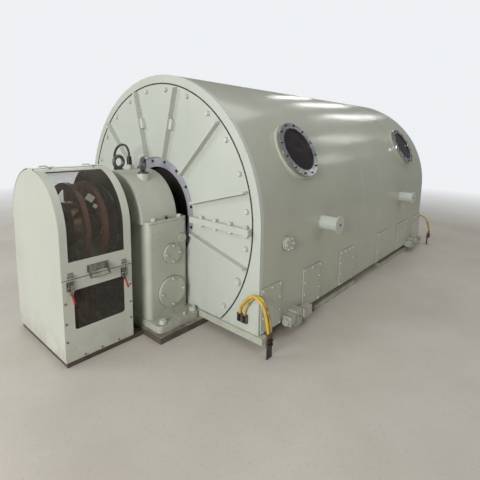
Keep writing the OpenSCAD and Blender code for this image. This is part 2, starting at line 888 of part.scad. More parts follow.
// Mesh of a door: arched and straight bars, in panels that part at these angles round the arch
mesh_step = 6.4;
mesh_parts = [14.6, 27.4, 40.2, 53];
mesh_part_gap = 1;
module door_mesh_right() {
    y0 = door_window_y[0] - mesh_lap;
    y1 = door_window_y[1] + mesh_lap;
    z0 = door_window_z - mesh_lap;
    x0 = door_window_x - mesh_lap;
    color(dark_steel) difference() {
        union() {
            for (y = [y0:mesh_pitch:y1]) along_y(y, y + mesh_bar)
                hood_band(hood_in - mesh_bar, hood_in, x0, z0);
            for (z = [z0:mesh_pitch:hood_axis_z])
                block([hood_in - mesh_bar, y0, z], [hood_in, y1, z + mesh_bar]);
            for (a = [mesh_step - 1:mesh_step:acos(x0 / hood_in) - 2]) translate([0, 0, hood_axis_z])
                rotate([0, -a, 0]) block([hood_in - mesh_bar + 0.2, y0, -mesh_bar / 2],
                    [hood_in - 0.2, y1, mesh_bar / 2]);
        }
        for (a = mesh_parts) translate([0, 0, hood_axis_z]) rotate([0, -a, 0])
            block([hood_in - 3 * mesh_bar, y0 - 10, -mesh_part_gap / 2],
                [hood_in + 2 * mesh_bar, y1 + 10, mesh_part_gap / 2]);
    }
}
module door_mesh_left() mirror([1, 0, 0]) door_mesh_right();

// Lift handle of a door: a base plate, two bent arms and a round grip that hangs below the seam
handle_y = [hood_front + 187, hood_front + 357];
handle_plate_z = [22, 78];
handle_plate_t = 4;
handle_arm_w = 10;
handle_grip_r = 9;
handle_out = 42;
handle_drop = 6;
module lift_handle() {
    block([hood_r, handle_y[0], seam_z + handle_plate_z[0]],
        [hood_r + handle_plate_t, handle_y[1], seam_z + handle_plate_z[1]]);
    for (y = [handle_y[0] + 6, handle_y[1] - 6 - handle_arm_w]) along_y(y, y + handle_arm_w)
        translate([hood_r, seam_z]) polygon([[handle_plate_t, 58], [handle_plate_t, 28],
            [handle_out - handle_grip_r, -handle_drop - 8], [handle_out + handle_grip_r, -handle_drop - 8],
            [handle_out + handle_grip_r, 6], [handle_plate_t + 14, 58]]);
    translate([hood_r + handle_out, handle_y[0] + 6, seam_z - handle_drop]) rotate([-90, 0, 0])
        cylinder(r = handle_grip_r, h = handle_y[1] - handle_y[0] - 12);
}

// Toggle latch: a keeper with two rods on the door, a lever and its grip on the panel below
latch_y = [hood_front + 60, hood_front + 490];
latch_half = 20;
latch_rod_r = 3;
latch_rod_x = 13;
module latch_keeper(y) {
    block([hood_r, y - latch_half, seam_z + 14], [hood_r + 3, y + latch_half, seam_z + 52]);
    block([hood_r + 3, y - latch_half, seam_z + 26],
        [hood_r + latch_rod_x + latch_rod_r, y + latch_half, seam_z + 34]);
    for (s = [-1, 1]) translate([hood_r + latch_rod_x, y + s * (latch_half - 4), seam_z - 52])
        cylinder(r = latch_rod_r, h = 78);
}

module door_fittings_right() {
    color(chrome_tone) {
        lift_handle();
        for (y = latch_y) latch_keeper(y);
    }
}
module door_fittings_left() mirror([1, 0, 0]) door_fittings_right();

lever_z = [-110, -76, -30];
lever_half = 8;
lever_out = 20;
module latch_levers() {
    color(chrome_tone) both_sides() for (y = latch_y) {
        block([hood_r, y - 30, seam_z - 84], [hood_r + 3, y + 30, seam_z - 14]);
        block([hood_r + 3, y - lever_half, seam_z + lever_z[1]],
            [hood_r + lever_out, y + lever_half, seam_z + lever_z[2]]);
        block([hood_r + 8, y - lever_half, seam_z + lever_z[0]],
            [hood_r + lever_out, y + lever_half, seam_z + lever_z[1]]);
    }
}

latch_grip_l = 70;
module latch_grips() {
    color("#aa2832") both_sides() for (y = latch_y)
        translate([hood_r + 15, y, seam_z + lever_z[0] - latch_grip_l]) cylinder(r = 8, h = latch_grip_l);
}

// Rotor
shaft_front_r = 105;
module rotor_shaft() {
    r_in = journal_r + shaft_step;
    color(bare_steel) shaft_turned([[0, slip_front], [shaft_front_r, slip_front],
        [shaft_front_r, ped_front - 90], [shaft_front_r + 25, ped_front - 70], [journal_r, ped_front - 50],
        [journal_r, casing_f - 10], [r_in, casing_f + 10], [r_in, casing_b - 10],
        [journal_r, casing_b + 10], [journal_r, casing_b + rear_reach - coupling_t],
        [0, casing_b + rear_reach - coupling_t]]);
}

// Rotor body with a thicker retaining ring at each end
ring_l = 330;
ring_step = 10;
ring_chamfer = 20;
module rotor_body() {
    y0 = casing_f + core_inset - ring_l;
    y1 = casing_b - core_inset + ring_l;
    r_in = journal_r + shaft_step;
    r = rotor_r + ring_step;
    color(bare_steel) shaft_turned([[r_in, y0], [r - ring_chamfer, y0], [r, y0 + ring_chamfer],
        [r, y0 + ring_l], [rotor_r, y0 + ring_l], [rotor_r, y1 - ring_l], [r, y1 - ring_l],
        [r, y1 - ring_chamfer], [r - ring_chamfer, y1], [r_in, y1]]);
}

module slip_rings() {
    color("#b5885a") for (y = slip_y) difference() {
        shaft_disc(slip_r, y, y + slip_w);
        shaft_disc(shaft_front_r, slip_front, casing_f);
    }
}

module coupling_flange() {
    y1 = casing_b + rear_reach;
    color(bare_steel) difference() {
        shaft_disc(coupling_r, y1 - coupling_t, y1);
        for (i = [0:coupling_holes - 1]) translate([0, y1 + 1, shaft_h])
            rotate([0, i * 360 / coupling_holes, 0]) translate([coupling_bolt_r, 0, 0]) rotate([90, 0, 0])
                cylinder(r = coupling_hole_r, h = coupling_t + 2, $fn = 48);
    }
}

// Brush gear: an insulated ring round each slip ring with brush boxes inside it, on a stand from the base
brush_ring_r = [slip_r + 110, slip_r + 160];
brush_box = [34, 36];
brush_clear = 8;
module brush_gear() {
    color("#6e4b37") for (y = slip_y) {
        difference() {
            union() {
                shaft_disc(brush_ring_r[1], y + brush_y[0], y + brush_y[1]);
                block([-stand_half, y + brush_y[0], base_z],
                    [stand_half, y + brush_y[1], shaft_h - brush_ring_r[0]]);
            }
            shaft_disc(brush_ring_r[0], slip_front, casing_f);
        }
        for (a = [30:60:330]) translate([0, 0, shaft_h]) rotate([0, a, 0])
            block([slip_r + brush_clear, y + brush_y[0] + 2, -brush_box[0] / 2],
                [brush_ring_r[0] + 5, y + brush_y[0] + 2 + brush_box[1], brush_box[0] / 2]);
    }
}

casing_shell();
front_end_plate();
rear_end_plate();
stator_core();
end_windings();
front_cover_upper();
front_cover_lower();
rear_cover_upper();
rear_cover_lower();
seal_rings();
side_covers_right();
side_covers_left();
trunnions();
window_necks();
window_rings();
window_glass();
blank_ports();
foot_beams();
cross_bars();
sole_plates();
jacking_blocks();
earth_bars();
earth_lugs();
earth_cables();
pedestal_soles();
pedestal_subplates();
front_pedestal();
rear_pedestal();
front_bearing_cap();
rear_bearing_cap();
pedestal_covers();
eye_pads();
lifting_eyes();
sensor_fittings();
sensor_conduit();
hood_base();
hood_ends();
hood_side_panels();
hood_lower_meshes();
hood_door_right();
hood_door_left();
door_mesh_right();
door_mesh_left();
door_fittings_right();
door_fittings_left();
latch_levers();
latch_grips();
rotor_shaft();
rotor_body();
slip_rings();
coupling_flange();
brush_gear();
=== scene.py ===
from math import acos, ceil, cos, pi, radians, sin, sqrt, tau

import bpy
from mathutils import Matrix, Vector


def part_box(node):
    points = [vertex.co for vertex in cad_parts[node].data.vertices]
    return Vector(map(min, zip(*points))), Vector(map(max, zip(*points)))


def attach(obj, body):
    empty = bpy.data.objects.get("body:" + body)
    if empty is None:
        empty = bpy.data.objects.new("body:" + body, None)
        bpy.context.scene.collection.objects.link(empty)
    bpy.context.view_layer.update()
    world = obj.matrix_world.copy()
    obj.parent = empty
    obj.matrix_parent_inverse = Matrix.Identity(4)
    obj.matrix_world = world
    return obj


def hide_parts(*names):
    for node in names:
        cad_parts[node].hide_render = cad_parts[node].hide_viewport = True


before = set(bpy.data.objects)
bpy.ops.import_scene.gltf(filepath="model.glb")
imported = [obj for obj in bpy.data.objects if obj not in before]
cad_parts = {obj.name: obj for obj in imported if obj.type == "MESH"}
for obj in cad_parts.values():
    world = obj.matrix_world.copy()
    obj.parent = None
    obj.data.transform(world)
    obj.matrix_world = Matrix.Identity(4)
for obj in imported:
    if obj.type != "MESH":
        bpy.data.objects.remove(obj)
bpy.ops.object.select_all(action="DESELECT")
bpy.context.view_layer.objects.active = None
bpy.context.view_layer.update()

# Places read from the model
plateLow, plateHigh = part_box("front_end_plate")
frontY = plateLow.y          # front face of the casing and its covers
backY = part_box("rear_end_plate")[1].y
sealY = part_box("seal_rings")[0].y
casingR = plateHigh.x        # half width and radius of the arch
shaftZ = plateHigh.z - casingR
casingZ = plateLow.z
middleY = (frontY + backY) / 2
pedestalLow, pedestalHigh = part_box("front_pedestal")
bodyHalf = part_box("front_bearing_cap")[1].x
panelLow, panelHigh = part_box("hood_side_panels")
hoodR, hoodFront, hoodBack = panelHigh.x, panelLow.y, panelHigh.y
seamZ = panelHigh.z + 0.003  # joint between the lower panels and the lift-up doors
hoodAxisZ = 0.985            # centre of the hood's arch
# Depths below the hood's outer sheets and ends at which the painted shade of its inside begins
hoodSkin = {"sheet": 0.0035, "end": 0.002}

# Camera, lamps and floor
photoView = {
    "place": (2.970, -4.037, 1.699),
    "turn": (81.1185, -0.8234, 42.1774),
    "lens": 27.587,
    "shift": (0.01654, -0.0971),
}
hallLamps = [
    # name, place, aimed at, width, height, watts, tint
    ("frontDoorway", (2.9, -9.4, 3.0), (0.2, -1.8, 0.9), 3.0, 2.2, 430, (0.985, 1.0, 0.995)),
    ("frontSky", (-3.4, -7.2, 5.2), (0.0, -1.8, 0.9), 3.4, 2.6, 145, (0.99, 1.0, 0.99)),
    ("roofBay", (0.5, 1.0, 7.5), (0.0, 0.5, 1.0), 7.0, 6.0, 175, (1.0, 1.0, 1.0)),
    ("rightBay", (8.0, 2.2, 4.2), (1.2, 0.8, 0.9), 4.0, 2.6, 62, (1.0, 0.99, 0.97)),
    ("leftBay", (-7.5, 1.5, 4.5), (-1.0, 0.3, 0.9), 5.0, 3.0, 140, (0.98, 0.99, 1.0)),
]
# Tall narrow lamps that the glossy shell mirrors as streaks: x, z and height of each.
# They aim at a share of their own x, and at a height
farWindows = {"y": 12.6, "width": 0.8, "glow": 13.0, "aim": (0.2, 1.9), "panes": [
    (-6.4, 7.4, 3.0), (-3.9, 7.4, 3.0), (-0.9, 7.4, 2.4), (3.5, 7.5, 1.8), (6.6, 6.2, 1.6)]}
paleHall = {"tint": (0.86, 0.88, 0.90, 1), "strength": 0.26}


# A screen colour out of 255, made linear
def tone(r, g, b):
    shares = [c / 255 for c in (r, g, b)]
    return (*[c / 12.92 if c <= 0.04045 else ((c + 0.055) / 1.055) ** 2.4 for c in shares], 1)


def setCamera(view):
    cam = bpy.data.cameras.new("hallCamera")
    cam.sensor_width = 36
    cam.lens = view["lens"]
    cam.shift_x, cam.shift_y = view["shift"]
    cam.clip_end = 200
    holder = bpy.data.objects.new("hallCamera", cam)
    bpy.context.scene.collection.objects.link(holder)
    holder.location = view["place"]
    holder.rotation_euler = [radians(a) for a in view["turn"]]
    bpy.context.scene.camera = holder


def hangLamp(name, place, target, width, height, watts, tint):
    bpy.ops.object.light_add(type="AREA", location=place)
    lamp = bpy.context.object
    lamp.name = name
    lamp.data.shape = "RECTANGLE"
    lamp.data.size, lamp.data.size_y = width, height
    lamp.data.energy = watts
    lamp.data.color = tint
    lamp.rotation_euler = (Vector(target) - Vector(place)).to_track_quat("-Z", "Y").to_euler()
    return lamp


def paleWorld(tint, strength):
    world = bpy.data.worlds.new("paleHall")
    bpy.context.scene.world = world
    world.use_nodes = True
    tree = world.node_tree
    sky = tree.nodes["Background"]
    sky.inputs["Color"].default_value = tint
    rays = tree.nodes.new("ShaderNodeLightPath")
    seen = tree.nodes.new("ShaderNodeMath")
    seen.operation = "MAXIMUM"
    tree.links.new(rays.outputs["Is Camera Ray"], seen.inputs[0])
    tree.links.new(rays.outputs["Is Transmission Ray"], seen.inputs[1])
    level = tree.nodes.new("ShaderNodeMapRange")
    level.inputs["To Min"].default_value = strength
    level.inputs["To Max"].default_value = 1.0
    tree.links.new(seen.outputs[0], level.inputs["Value"])
    tree.links.new(level.outputs["Result"], sky.inputs["Strength"])


setCamera(photoView)
for lamp in hallLamps:
    hangLamp(*lamp)
aimShare, aimZ = farWindows["aim"]
for number, (x, z, height) in enumerate(farWindows["panes"]):
    width = farWindows["width"]
    pane = hangLamp(f"farWindow{number}", (x, farWindows["y"], z), (x * aimShare, 0.0, aimZ), width, height,
                    farWindows["glow"] * width * height, (1, 1, 1))
    pane.visible_camera = False
paleWorld(**paleHall)
bpy.context.scene.view_settings.view_transform = "Standard"
bpy.ops.object.select_all(action="DESELECT")
print("camera and lamps set")


# Node helpers for the finishes
def startFinish(name):
    mat = bpy.data.materials.new(name)
    mat.use_nodes = True
    tree = mat.node_tree
    coords = tree.nodes.new("ShaderNodeTexCoord")
    return mat, tree, tree.nodes["Principled BSDF"], coords.outputs["Object"]


def stretched(tree, spot, factors):
    mapping = tree.nodes.new("ShaderNodeMapping")
    mapping.inputs["Scale"].default_value = factors
    tree.links.new(spot, mapping.inputs["Vector"])
    return mapping.outputs["Vector"]


def cloud(tree, spot, scale, detail=3, rough=0.55):
    noise = tree.nodes.new("ShaderNodeTexNoise")
    noise.inputs["Scale"].default_value = scale
    noise.inputs["Detail"].default_value = detail
    noise.inputs["Roughness"].default_value = rough
    tree.links.new(spot, noise.inputs["Vector"])
    return noise.outputs["Fac"]


def span(tree, value, low, high, outLow=0.0, outHigh=1.0):
    ranged = tree.nodes.new("ShaderNodeMapRange")
    ranged.inputs["From Min"].default_value = low
    ranged.inputs["From Max"].default_value = high
    ranged.inputs["To Min"].default_value = outLow
    ranged.inputs["To Max"].default_value = outHigh
    tree.links.new(value, ranged.inputs["Value"])
    return ranged.outputs["Result"]


def sums(tree, operation, a, b):
    node = tree.nodes.new("ShaderNodeMath")
    node.operation = operation
    for socket, value in zip(node.inputs, (a, b)):
        if isinstance(value, (int, float)):
            socket.default_value = value
        else:
            tree.links.new(value, socket)
    return node.outputs[0]


def tinted(tree, share, under, over):
    mix = tree.nodes.new("ShaderNodeMix")
    mix.data_type = "RGBA"
    tree.links.new(share, mix.inputs["Factor"])
    for socket, value in ((mix.inputs[6], under), (mix.inputs[7], over)):
        if isinstance(value, tuple):
            socket.default_value = tone(*value)
        else:
            tree.links.new(value, socket)
    return mix.outputs[2]


def axisOf(tree, spot, axis):
    parts = tree.nodes.new("ShaderNodeSeparateXYZ")
    tree.links.new(spot, parts.inputs[0])
    return parts.outputs[axis]


# Bumps on each other: each layer is a height and its depth in metres
def relief(tree, shader, layers):
    normal = None
    for height, depth in layers:
        bump = tree.nodes.new("ShaderNodeBump")
        bump.inputs["Strength"].default_value = 1.0
        bump.inputs["Distance"].default_value = depth
        tree.links.new(height, bump.inputs["Height"])
        if normal is not None:
            tree.links.new(normal, bump.inputs["Normal"])
        normal = bump.outputs["Normal"]
    tree.links.new(normal, shader.inputs["Normal"])


# Sprayed plant paint: cloudy tone, runs, grime near the floor, specks and dust on level faces, and painted
# shade on the hood's inner faces
def paintFinish(name, look):
    mat, tree, shader, spot = startFinish(name)
    patches = span(tree, cloud(tree, spot, look["patch"], 4), 0.35, 0.65)
    colour = tinted(tree, patches, look["tone"], look["shade"])
    runs = cloud(tree, stretched(tree, spot, (9, 9, 0.7)), 1.6, 4)
    colour = tinted(tree, span(tree, runs, 0.60, 0.85, 0, look["runs"]), colour, look["dirt"])
    height = axisOf(tree, spot, "Z")
    low = span(tree, height, 0.02, look["grimeTop"], 1, 0)
    ragged = span(tree, cloud(tree, spot, 7, 5, 0.7), 0.38, 0.68)
    grime = sums(tree, "MULTIPLY", sums(tree, "MULTIPLY", low, ragged), look["grime"])
    colour = tinted(tree, grime, colour, look["dirt"])
    facing = tree.nodes.new("ShaderNodeNewGeometry")
    level = span(tree, axisOf(tree, facing.outputs["Normal"], "Z"), 0.80, 0.97, 0, look["dust"])
    settled = span(tree, cloud(tree, spot, 13, 5, 0.65), 0.34, 0.62)
    colour = tinted(tree, sums(tree, "MULTIPLY", level, settled), colour, look["dustTone"])
    specks = span(tree, cloud(tree, spot, 55, 2), 0.70, 0.76, 0, look["specks"])
    colour = tinted(tree, specks, colour, look["dirt"])
    # Painted shade: the hood's enclosed inner faces are darkened to near black
    if "inside" in look:
        colour = tinted(tree, hoodShadeMask(tree, spot), colour, look["inside"])
    tree.links.new(colour, shader.inputs["Base Color"])
    gloss = cloud(tree, spot, 2.2, 3, 0.6)
    tree.links.new(span(tree, gloss, 0.3, 0.7, *look["rough"]), shader.inputs["Roughness"])
    shader.inputs["Specular IOR Level"].default_value = look["shine"]
    layers = [(cloud(tree, spot, look["peel"], 2), look["peelDepth"])]
    if look["ripple"]:
        layers.append((cloud(tree, spot, 1.3, 1), look["ripple"]))
    relief(tree, shader, layers)
    return mat


# 1 on the inner faces of the hood, which get a near-black painted shade, and 0 outside
def hoodShadeMask(tree, spot):
    across, along, up = (axisOf(tree, spot, axis) for axis in "XYZ")
    over = sums(tree, "MAXIMUM", sums(tree, "SUBTRACT", up, hoodAxisZ), 0)
    square = sums(tree, "ADD", sums(tree, "MULTIPLY", across, across), sums(tree, "MULTIPLY", over, over))
    reach = sums(tree, "SQRT", square, 0)
    inside = sums(tree, "LESS_THAN", reach, hoodR - hoodSkin["sheet"])
    behind = sums(tree, "GREATER_THAN", along, hoodFront + hoodSkin["end"])
    before = sums(tree, "LESS_THAN", along, hoodBack - hoodSkin["end"])
    return sums(tree, "MULTIPLY", sums(tree, "MULTIPLY", inside, behind), before)


# Bare metal: turning or drawing marks, stains and a little tarnish.
# A shade reach is the reach from the machine's middle inside which the metal has another, darker tone: a
# painted shade
def metalFinish(name, look):
    mat, tree, shader, spot = startFinish(name)
    marks = cloud(tree, stretched(tree, spot, look["grain"]), 1.0, 3, 0.6)
    stain = span(tree, cloud(tree, spot, look["patch"], 5, 0.65), 0.42, 0.72)
    colour = tinted(tree, span(tree, marks, 0.3, 0.7), look["tone"], look["shade"])
    colour = tinted(tree, sums(tree, "MULTIPLY", stain, look["stain"]), colour, look["tarnish"])
    # Painted shade on the metal that lies recessed behind its face
    if "dish" in look:
        reach = sums(tree, "ABSOLUTE", sums(tree, "SUBTRACT", axisOf(tree, spot, "Y"), middleY), 0)
        colour = tinted(tree, sums(tree, "LESS_THAN", reach, look["dish"]), colour, look["dishTone"])
    tree.links.new(colour, shader.inputs["Base Color"])
    shader.inputs["Metallic"].default_value = look["metal"]
    clean = span(tree, marks, 0.3, 0.7, *look["rough"])
    rough = sums(tree, "ADD", clean, sums(tree, "MULTIPLY", stain, 0.15))
    tree.links.new(rough, shader.inputs["Roughness"])
    relief(tree, shader, [(marks, look["depth"])])
    return mat


# Cable jackets, dipped grips, varnish and old dirt
def plasticFinish(name, look):
    mat, tree, shader, spot = startFinish(name)
    worn = span(tree, cloud(tree, spot, look["patch"], 4, 0.6), 0.40, 0.70)
    tree.links.new(tinted(tree, worn, look["tone"], look["shade"]), shader.inputs["Base Color"])
    gloss = cloud(tree, spot, look["patch"] * 3, 3)
    tree.links.new(span(tree, gloss, 0.3, 0.7, *look["rough"]), shader.inputs["Roughness"])
    relief(tree, shader, [(cloud(tree, spot, look["fine"], 3), look["depth"])])
    return mat


def glassFinish(name, look):
    mat, tree, shader, spot = startFinish(name)
    smears = span(tree, cloud(tree, stretched(tree, spot, (3, 3, 9)), 2.0, 5, 0.7), 0.40, 0.72)
    tree.links.new(tinted(tree, smears, look["tone"], look["shade"]), shader.inputs["Base Color"])
    tree.links.new(span(tree, smears, 0, 1, *look["rough"]), shader.inputs["Roughness"])
    shader.inputs["IOR"].default_value = 1.5
    shader.inputs["Alpha"].default_value = look["solid"]
    relief(tree, shader, [(cloud(tree, spot, 5, 1), 0.0004)])
    return mat


# Pale concrete that fades into the background far from the machine
def concreteFinish(name, look):
    mat, tree, shader, spot = startFinish(name)
    patch = span(tree, cloud(tree, spot, 0.8, 6, 0.6), 0.35, 0.65)
    colour = tinted(tree, patch, look["tone"], look["shade"])
    grit = span(tree, cloud(tree, spot, 45, 3), 0.55, 0.75, 0, 0.35)
    tree.links.new(tinted(tree, grit, colour, look["dirt"]), shader.inputs["Base Color"])
    tree.links.new(span(tree, patch, 0, 1, *look["rough"]), shader.inputs["Roughness"])
    relief(tree, shader, [(cloud(tree, spot, 60, 4), 0.0006)])
    away = tree.nodes.new("ShaderNodeVectorMath")
    away.operation = "LENGTH"
    tree.links.new(spot, away.inputs[0])
    tree.links.new(span(tree, away.outputs["Value"], *look["fade"], 1, 0), shader.inputs["Alpha"])
    return mat


shellPaint = {
    "tone": (190, 192, 176), "shade": (181, 183, 167), "dirt": (124, 116, 98),
    "dustTone": (158, 147, 126), "patch": 0.9, "runs": 0.10, "grime": 0.30, "grimeTop": 0.30,
    "specks": 0.07, "dust": 0.18, "rough": (0.14, 0.22), "shine": 0.55, "peel": 260, "peelDepth": 0.00008,
    "ripple": 0.0028,
}
castPaint = dict(shellPaint, patch=2.6, rough=(0.34, 0.50), peel=46, peelDepth=0.0011, ripple=0.0, dust=0.45,
                 grime=0.45, specks=0.12, tone=(192, 194, 180), shade=(179, 181, 167))
paints = {
    "shellPaint": shellPaint,
    "platePaint": dict(shellPaint, tone=(200, 204, 195), shade=(192, 196, 186), ripple=0.002,
                       rough=(0.32, 0.44), dust=0.08),
    "castPaint": castPaint,
    # The hood paint's inside tone is painted shade for the enclosed inner faces
    "hoodPaint": dict(shellPaint, tone=(200, 202, 190), shade=(190, 192, 179), ripple=0.0015,
                      rough=(0.36, 0.50), grime=0.45, dust=0.3, inside=(17, 14, 13)),
    "stripPaint": dict(castPaint, tone=(176, 176, 164), grime=0.5, dust=0.95, specks=0.5),
    "channelPaint": dict(castPaint, tone=(70, 58, 48), shade=(54, 45, 39), dirt=(110, 100, 88),
                         dustTone=(104, 92, 78)),
    "barPaint": dict(castPaint, tone=(38, 46, 40), shade=(27, 34, 29), dirt=(80, 76, 62),
                     dustTone=(70, 68, 58), dust=0.1, grime=0.2),
    "boltPaint": dict(castPaint, tone=(212, 214, 203), shade=(196, 198, 186), peel=90,
                      peelDepth=0.0003, specks=0.08, dust=0.1, rough=(0.28, 0.42)),
    "platePaintDull": dict(castPaint, tone=(146, 143, 126), shade=(120, 117, 102), peel=90,
                           peelDepth=0.0003),
    "soleIron": dict(castPaint, tone=(78, 71, 62), shade=(60, 55, 48), dirt=(120, 112, 100),
                     dustTone=(156, 148, 136), dust=1.0, specks=0.3),
}
metalKeys = ("tone", "shade", "tarnish", "grain", "patch", "stain", "metal", "rough", "depth")
metals = {
    "sealSteel": ((176, 176, 184), (162, 162, 171), (120, 110, 110), (40, 40, 40), 6, 0.25, 0.1,
                  (0.36, 0.50), 0.0002),
    "ringSteel": ((200, 200, 200), (176, 176, 178), (120, 112, 104), (90, 90, 90), 5, 0.12, 1.0,
                  (0.14, 0.22), 0.00005),
    # The rotor steel's dark tone is partly tarnish and partly painted shade, for the shaft seen in the
    # shaded gap between cap and seal ring
    "rotorSteel": ((116, 112, 108), (88, 85, 82), (62, 52, 44), (3, 260, 3), 5, 0.35, 1.0,
                   (0.22, 0.36), 0.00012),
    "coreSteel": ((74, 70, 68), (52, 49, 48), (60, 40, 34), (2, 320, 2), 4, 0.4, 0.6,
                  (0.45, 0.60), 0.0006),
    "eyeSteel": ((120, 124, 122), (88, 91, 90), (78, 68, 58), (60, 60, 60), 16, 0.4, 0.6,
                 (0.34, 0.50), 0.0003),
    "boltSteel": ((70, 68, 70), (48, 47, 50), (74, 58, 46), (80, 80, 80), 30, 0.4, 0.6,
                  (0.32, 0.50), 0.0002),
    "wireSteel": ((138, 133, 121), (106, 101, 91), (98, 86, 72), (40, 40, 40), 12, 0.3, 0.1,
                  (0.38, 0.55), 0.0001),
    "chrome": ((176, 175, 172), (140, 139, 137), (84, 78, 70), (50, 50, 50), 22, 0.45, 1.0,
               (0.14, 0.28), 0.00006),
    "slipBronze": ((128, 98, 72), (96, 70, 50), (58, 42, 32), (2, 300, 2), 8, 0.4, 1.0,
                   (0.22, 0.38), 0.0002),
    "lugCopper": ((124, 98, 86), (92, 74, 66), (150, 142, 122), (40, 40, 40), 26, 0.5, 0.5,
                  (0.42, 0.60), 0.0003),
}
# Painted shade: the seal ring is dark where it lies more than 3 mm behind its face
dishes = {"sealSteel": {"dish": middleY - sealY - 0.003, "dishTone": (52, 44, 44)}}
plasticKeys = ("tone", "shade", "patch", "rough", "fine", "depth")
plastics = {
    # The grime tone serves dirt and painted contact shadow round the bolts, and painted shadow lines in
    # corners and joints
    "grime": ((66, 62, 52), (104, 99, 84), 14, (0.60, 0.80), 120, 0.0002),
    "cableJacket": ((222, 186, 66), (190, 154, 52), 24, (0.38, 0.52), 180, 0.0002),
    "dirtyJacket": ((206, 172, 74), (112, 96, 62), 14, (0.42, 0.60), 150, 0.0003),
    # Dark rubber; its beads in the cover gap and its discs in the holes are painted shade
    "conduitRubber": ((42, 42, 42), (66, 64, 60), 30, (0.40, 0.58), 220, 0.0003),
    "gripRed": ((172, 36, 46), (132, 26, 36), 40, (0.30, 0.45), 160, 0.0002),
    "varnish": ((112, 66, 44), (76, 44, 31), 9, (0.34, 0.52), 70, 0.0006),
    "windingTape": ((112, 50, 38), (72, 34, 28), 11, (0.36, 0.55), 90, 0.0008),
}
smokeGlass = {"tone": (40, 30, 33), "shade": (66, 50, 50), "rough": (0.04, 0.16), "solid": 0.72}

finishes = {name: paintFinish(name, look) for name, look in paints.items()}
for name, values in metals.items():
    finishes[name] = metalFinish(name, dict(zip(metalKeys, values), **dishes.get(name, {})))
for name, values in plastics.items():
    finishes[name] = plasticFinish(name, dict(zip(plasticKeys, values)))
finishes["smokeGlass"] = glassFinish("smokeGlass", smokeGlass)

nodeFinish = {
    "shellPaint": ["casing_shell", "side_covers_right", "side_covers_left", "window_necks", "blank_ports",
                   "foot_beams", "cross_bars"],
    "platePaint": ["front_end_plate", "rear_end_plate", "front_cover_upper", "front_cover_lower",
                   "rear_cover_upper", "rear_cover_lower", "trunnions"],
    "castPaint": ["jacking_blocks", "front_pedestal", "rear_pedestal", "front_bearing_cap",
                  "rear_bearing_cap", "pedestal_covers", "eye_pads"],
    "stripPaint": ["sole_plates"],
    "hoodPaint": ["hood_ends", "hood_side_panels", "hood_door_right", "hood_door_left"],
    "channelPaint": ["hood_base"],
    "barPaint": ["earth_bars"],
    "sealSteel": ["seal_rings"],
    "ringSteel": ["window_rings"],
    "rotorSteel": ["rotor_shaft", "rotor_body", "coupling_flange"],
    "soleIron": ["pedestal_soles", "pedestal_subplates"],
    "coreSteel": ["stator_core"],
    "eyeSteel": ["lifting_eyes"],
    "boltSteel": ["sensor_fittings"],
    "wireSteel": ["hood_lower_meshes", "door_mesh_right", "door_mesh_left"],
    "chrome": ["door_fittings_right", "door_fittings_left", "latch_levers"],
    "gripRed": ["latch_grips"],
    "slipBronze": ["slip_rings"],
    "lugCopper": ["earth_lugs"],
    "cableJacket": ["earth_cables"],
    "conduitRubber": ["sensor_conduit"],
    "varnish": ["brush_gear"],
    "windingTape": ["end_windings"],
    "smokeGlass": ["window_glass"],
}


def deselect():
    bpy.ops.object.select_all(action="DESELECT")


def wear(obj, finish):
    obj.data.materials.clear()
    obj.data.materials.append(finishes[finish])


for finish, names in nodeFinish.items():
    for name in names:
        wear(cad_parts[name], finish)

# Worn edges on the castings and plates: width of the rounding in metres
edgeWidths = {
    0.004: ["front_cover_upper", "front_cover_lower", "rear_cover_upper", "rear_cover_lower", "trunnions",
            "blank_ports", "pedestal_covers", "window_rings"],
    0.006: ["front_pedestal", "rear_pedestal", "front_bearing_cap", "rear_bearing_cap"],
    0.0015: ["side_covers_right", "side_covers_left", "jacking_blocks"],
    0.002: ["earth_lugs", "earth_bars", "door_fittings_right", "door_fittings_left", "latch_levers"],
}
for width, names in edgeWidths.items():
    for name in names:
        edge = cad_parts[name].modifiers.new("wornEdges", "BEVEL")
        edge.width = width
        edge.segments = 2
        edge.limit_method = "ANGLE"
        edge.angle_limit = radians(50)
# Forged eyes, a little thicker than their solids
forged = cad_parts["lifting_eyes"].modifiers.new("forged", "DISPLACE")
forged.strength = 0.0018
forged.mid_level = 0.0
print("finishes on the CAD nodes:", sum(len(n) for n in nodeFinish.values()))


# Modelling helpers
def selectOnly(obj):
    deselect()
    obj.select_set(True)
    bpy.context.view_layer.objects.active = obj


def editing(obj):
    selectOnly(obj)
    bpy.ops.object.mode_set(mode="EDIT")


def editAll(obj):
    editing(obj)
    bpy.ops.mesh.select_all(action="SELECT")


def editDone():
    bpy.ops.object.mode_set(mode="OBJECT")


# Leaves edit mode with nothing selected, so that faces or edges can be picked one by one
def pickNone(obj, kind):
    editing(obj)
    bpy.ops.mesh.select_mode(type=kind)
    bpy.ops.mesh.select_all(action="DESELECT")
    editDone()


# Draws in the end that faces up, or down for way -1: each step is an inset and a rise
def pressed(obj, steps, way=1):
    pickNone(obj, "FACE")
    for face in obj.data.polygons:
        face.select = way * face.normal.z > 0.9
    editing(obj)
    for inset, rise in steps:
        bpy.ops.mesh.inset(thickness=inset)
        bpy.ops.transform.translate(value=(0, 0, rise))
    editDone()
    return obj


# Puts the active object's place, turn and size into its mesh
def settled():
    bpy.ops.object.transform_apply(location=True, rotation=True, scale=True)
    return bpy.context.object


def rod(sides, radius, depth, middle=(0, 0, 0), turn=(0, 0, 0)):
    bpy.ops.mesh.primitive_cylinder_add(vertices=sides, radius=radius, depth=depth, location=middle,
                                        rotation=[radians(a) for a in turn])
    return settled()


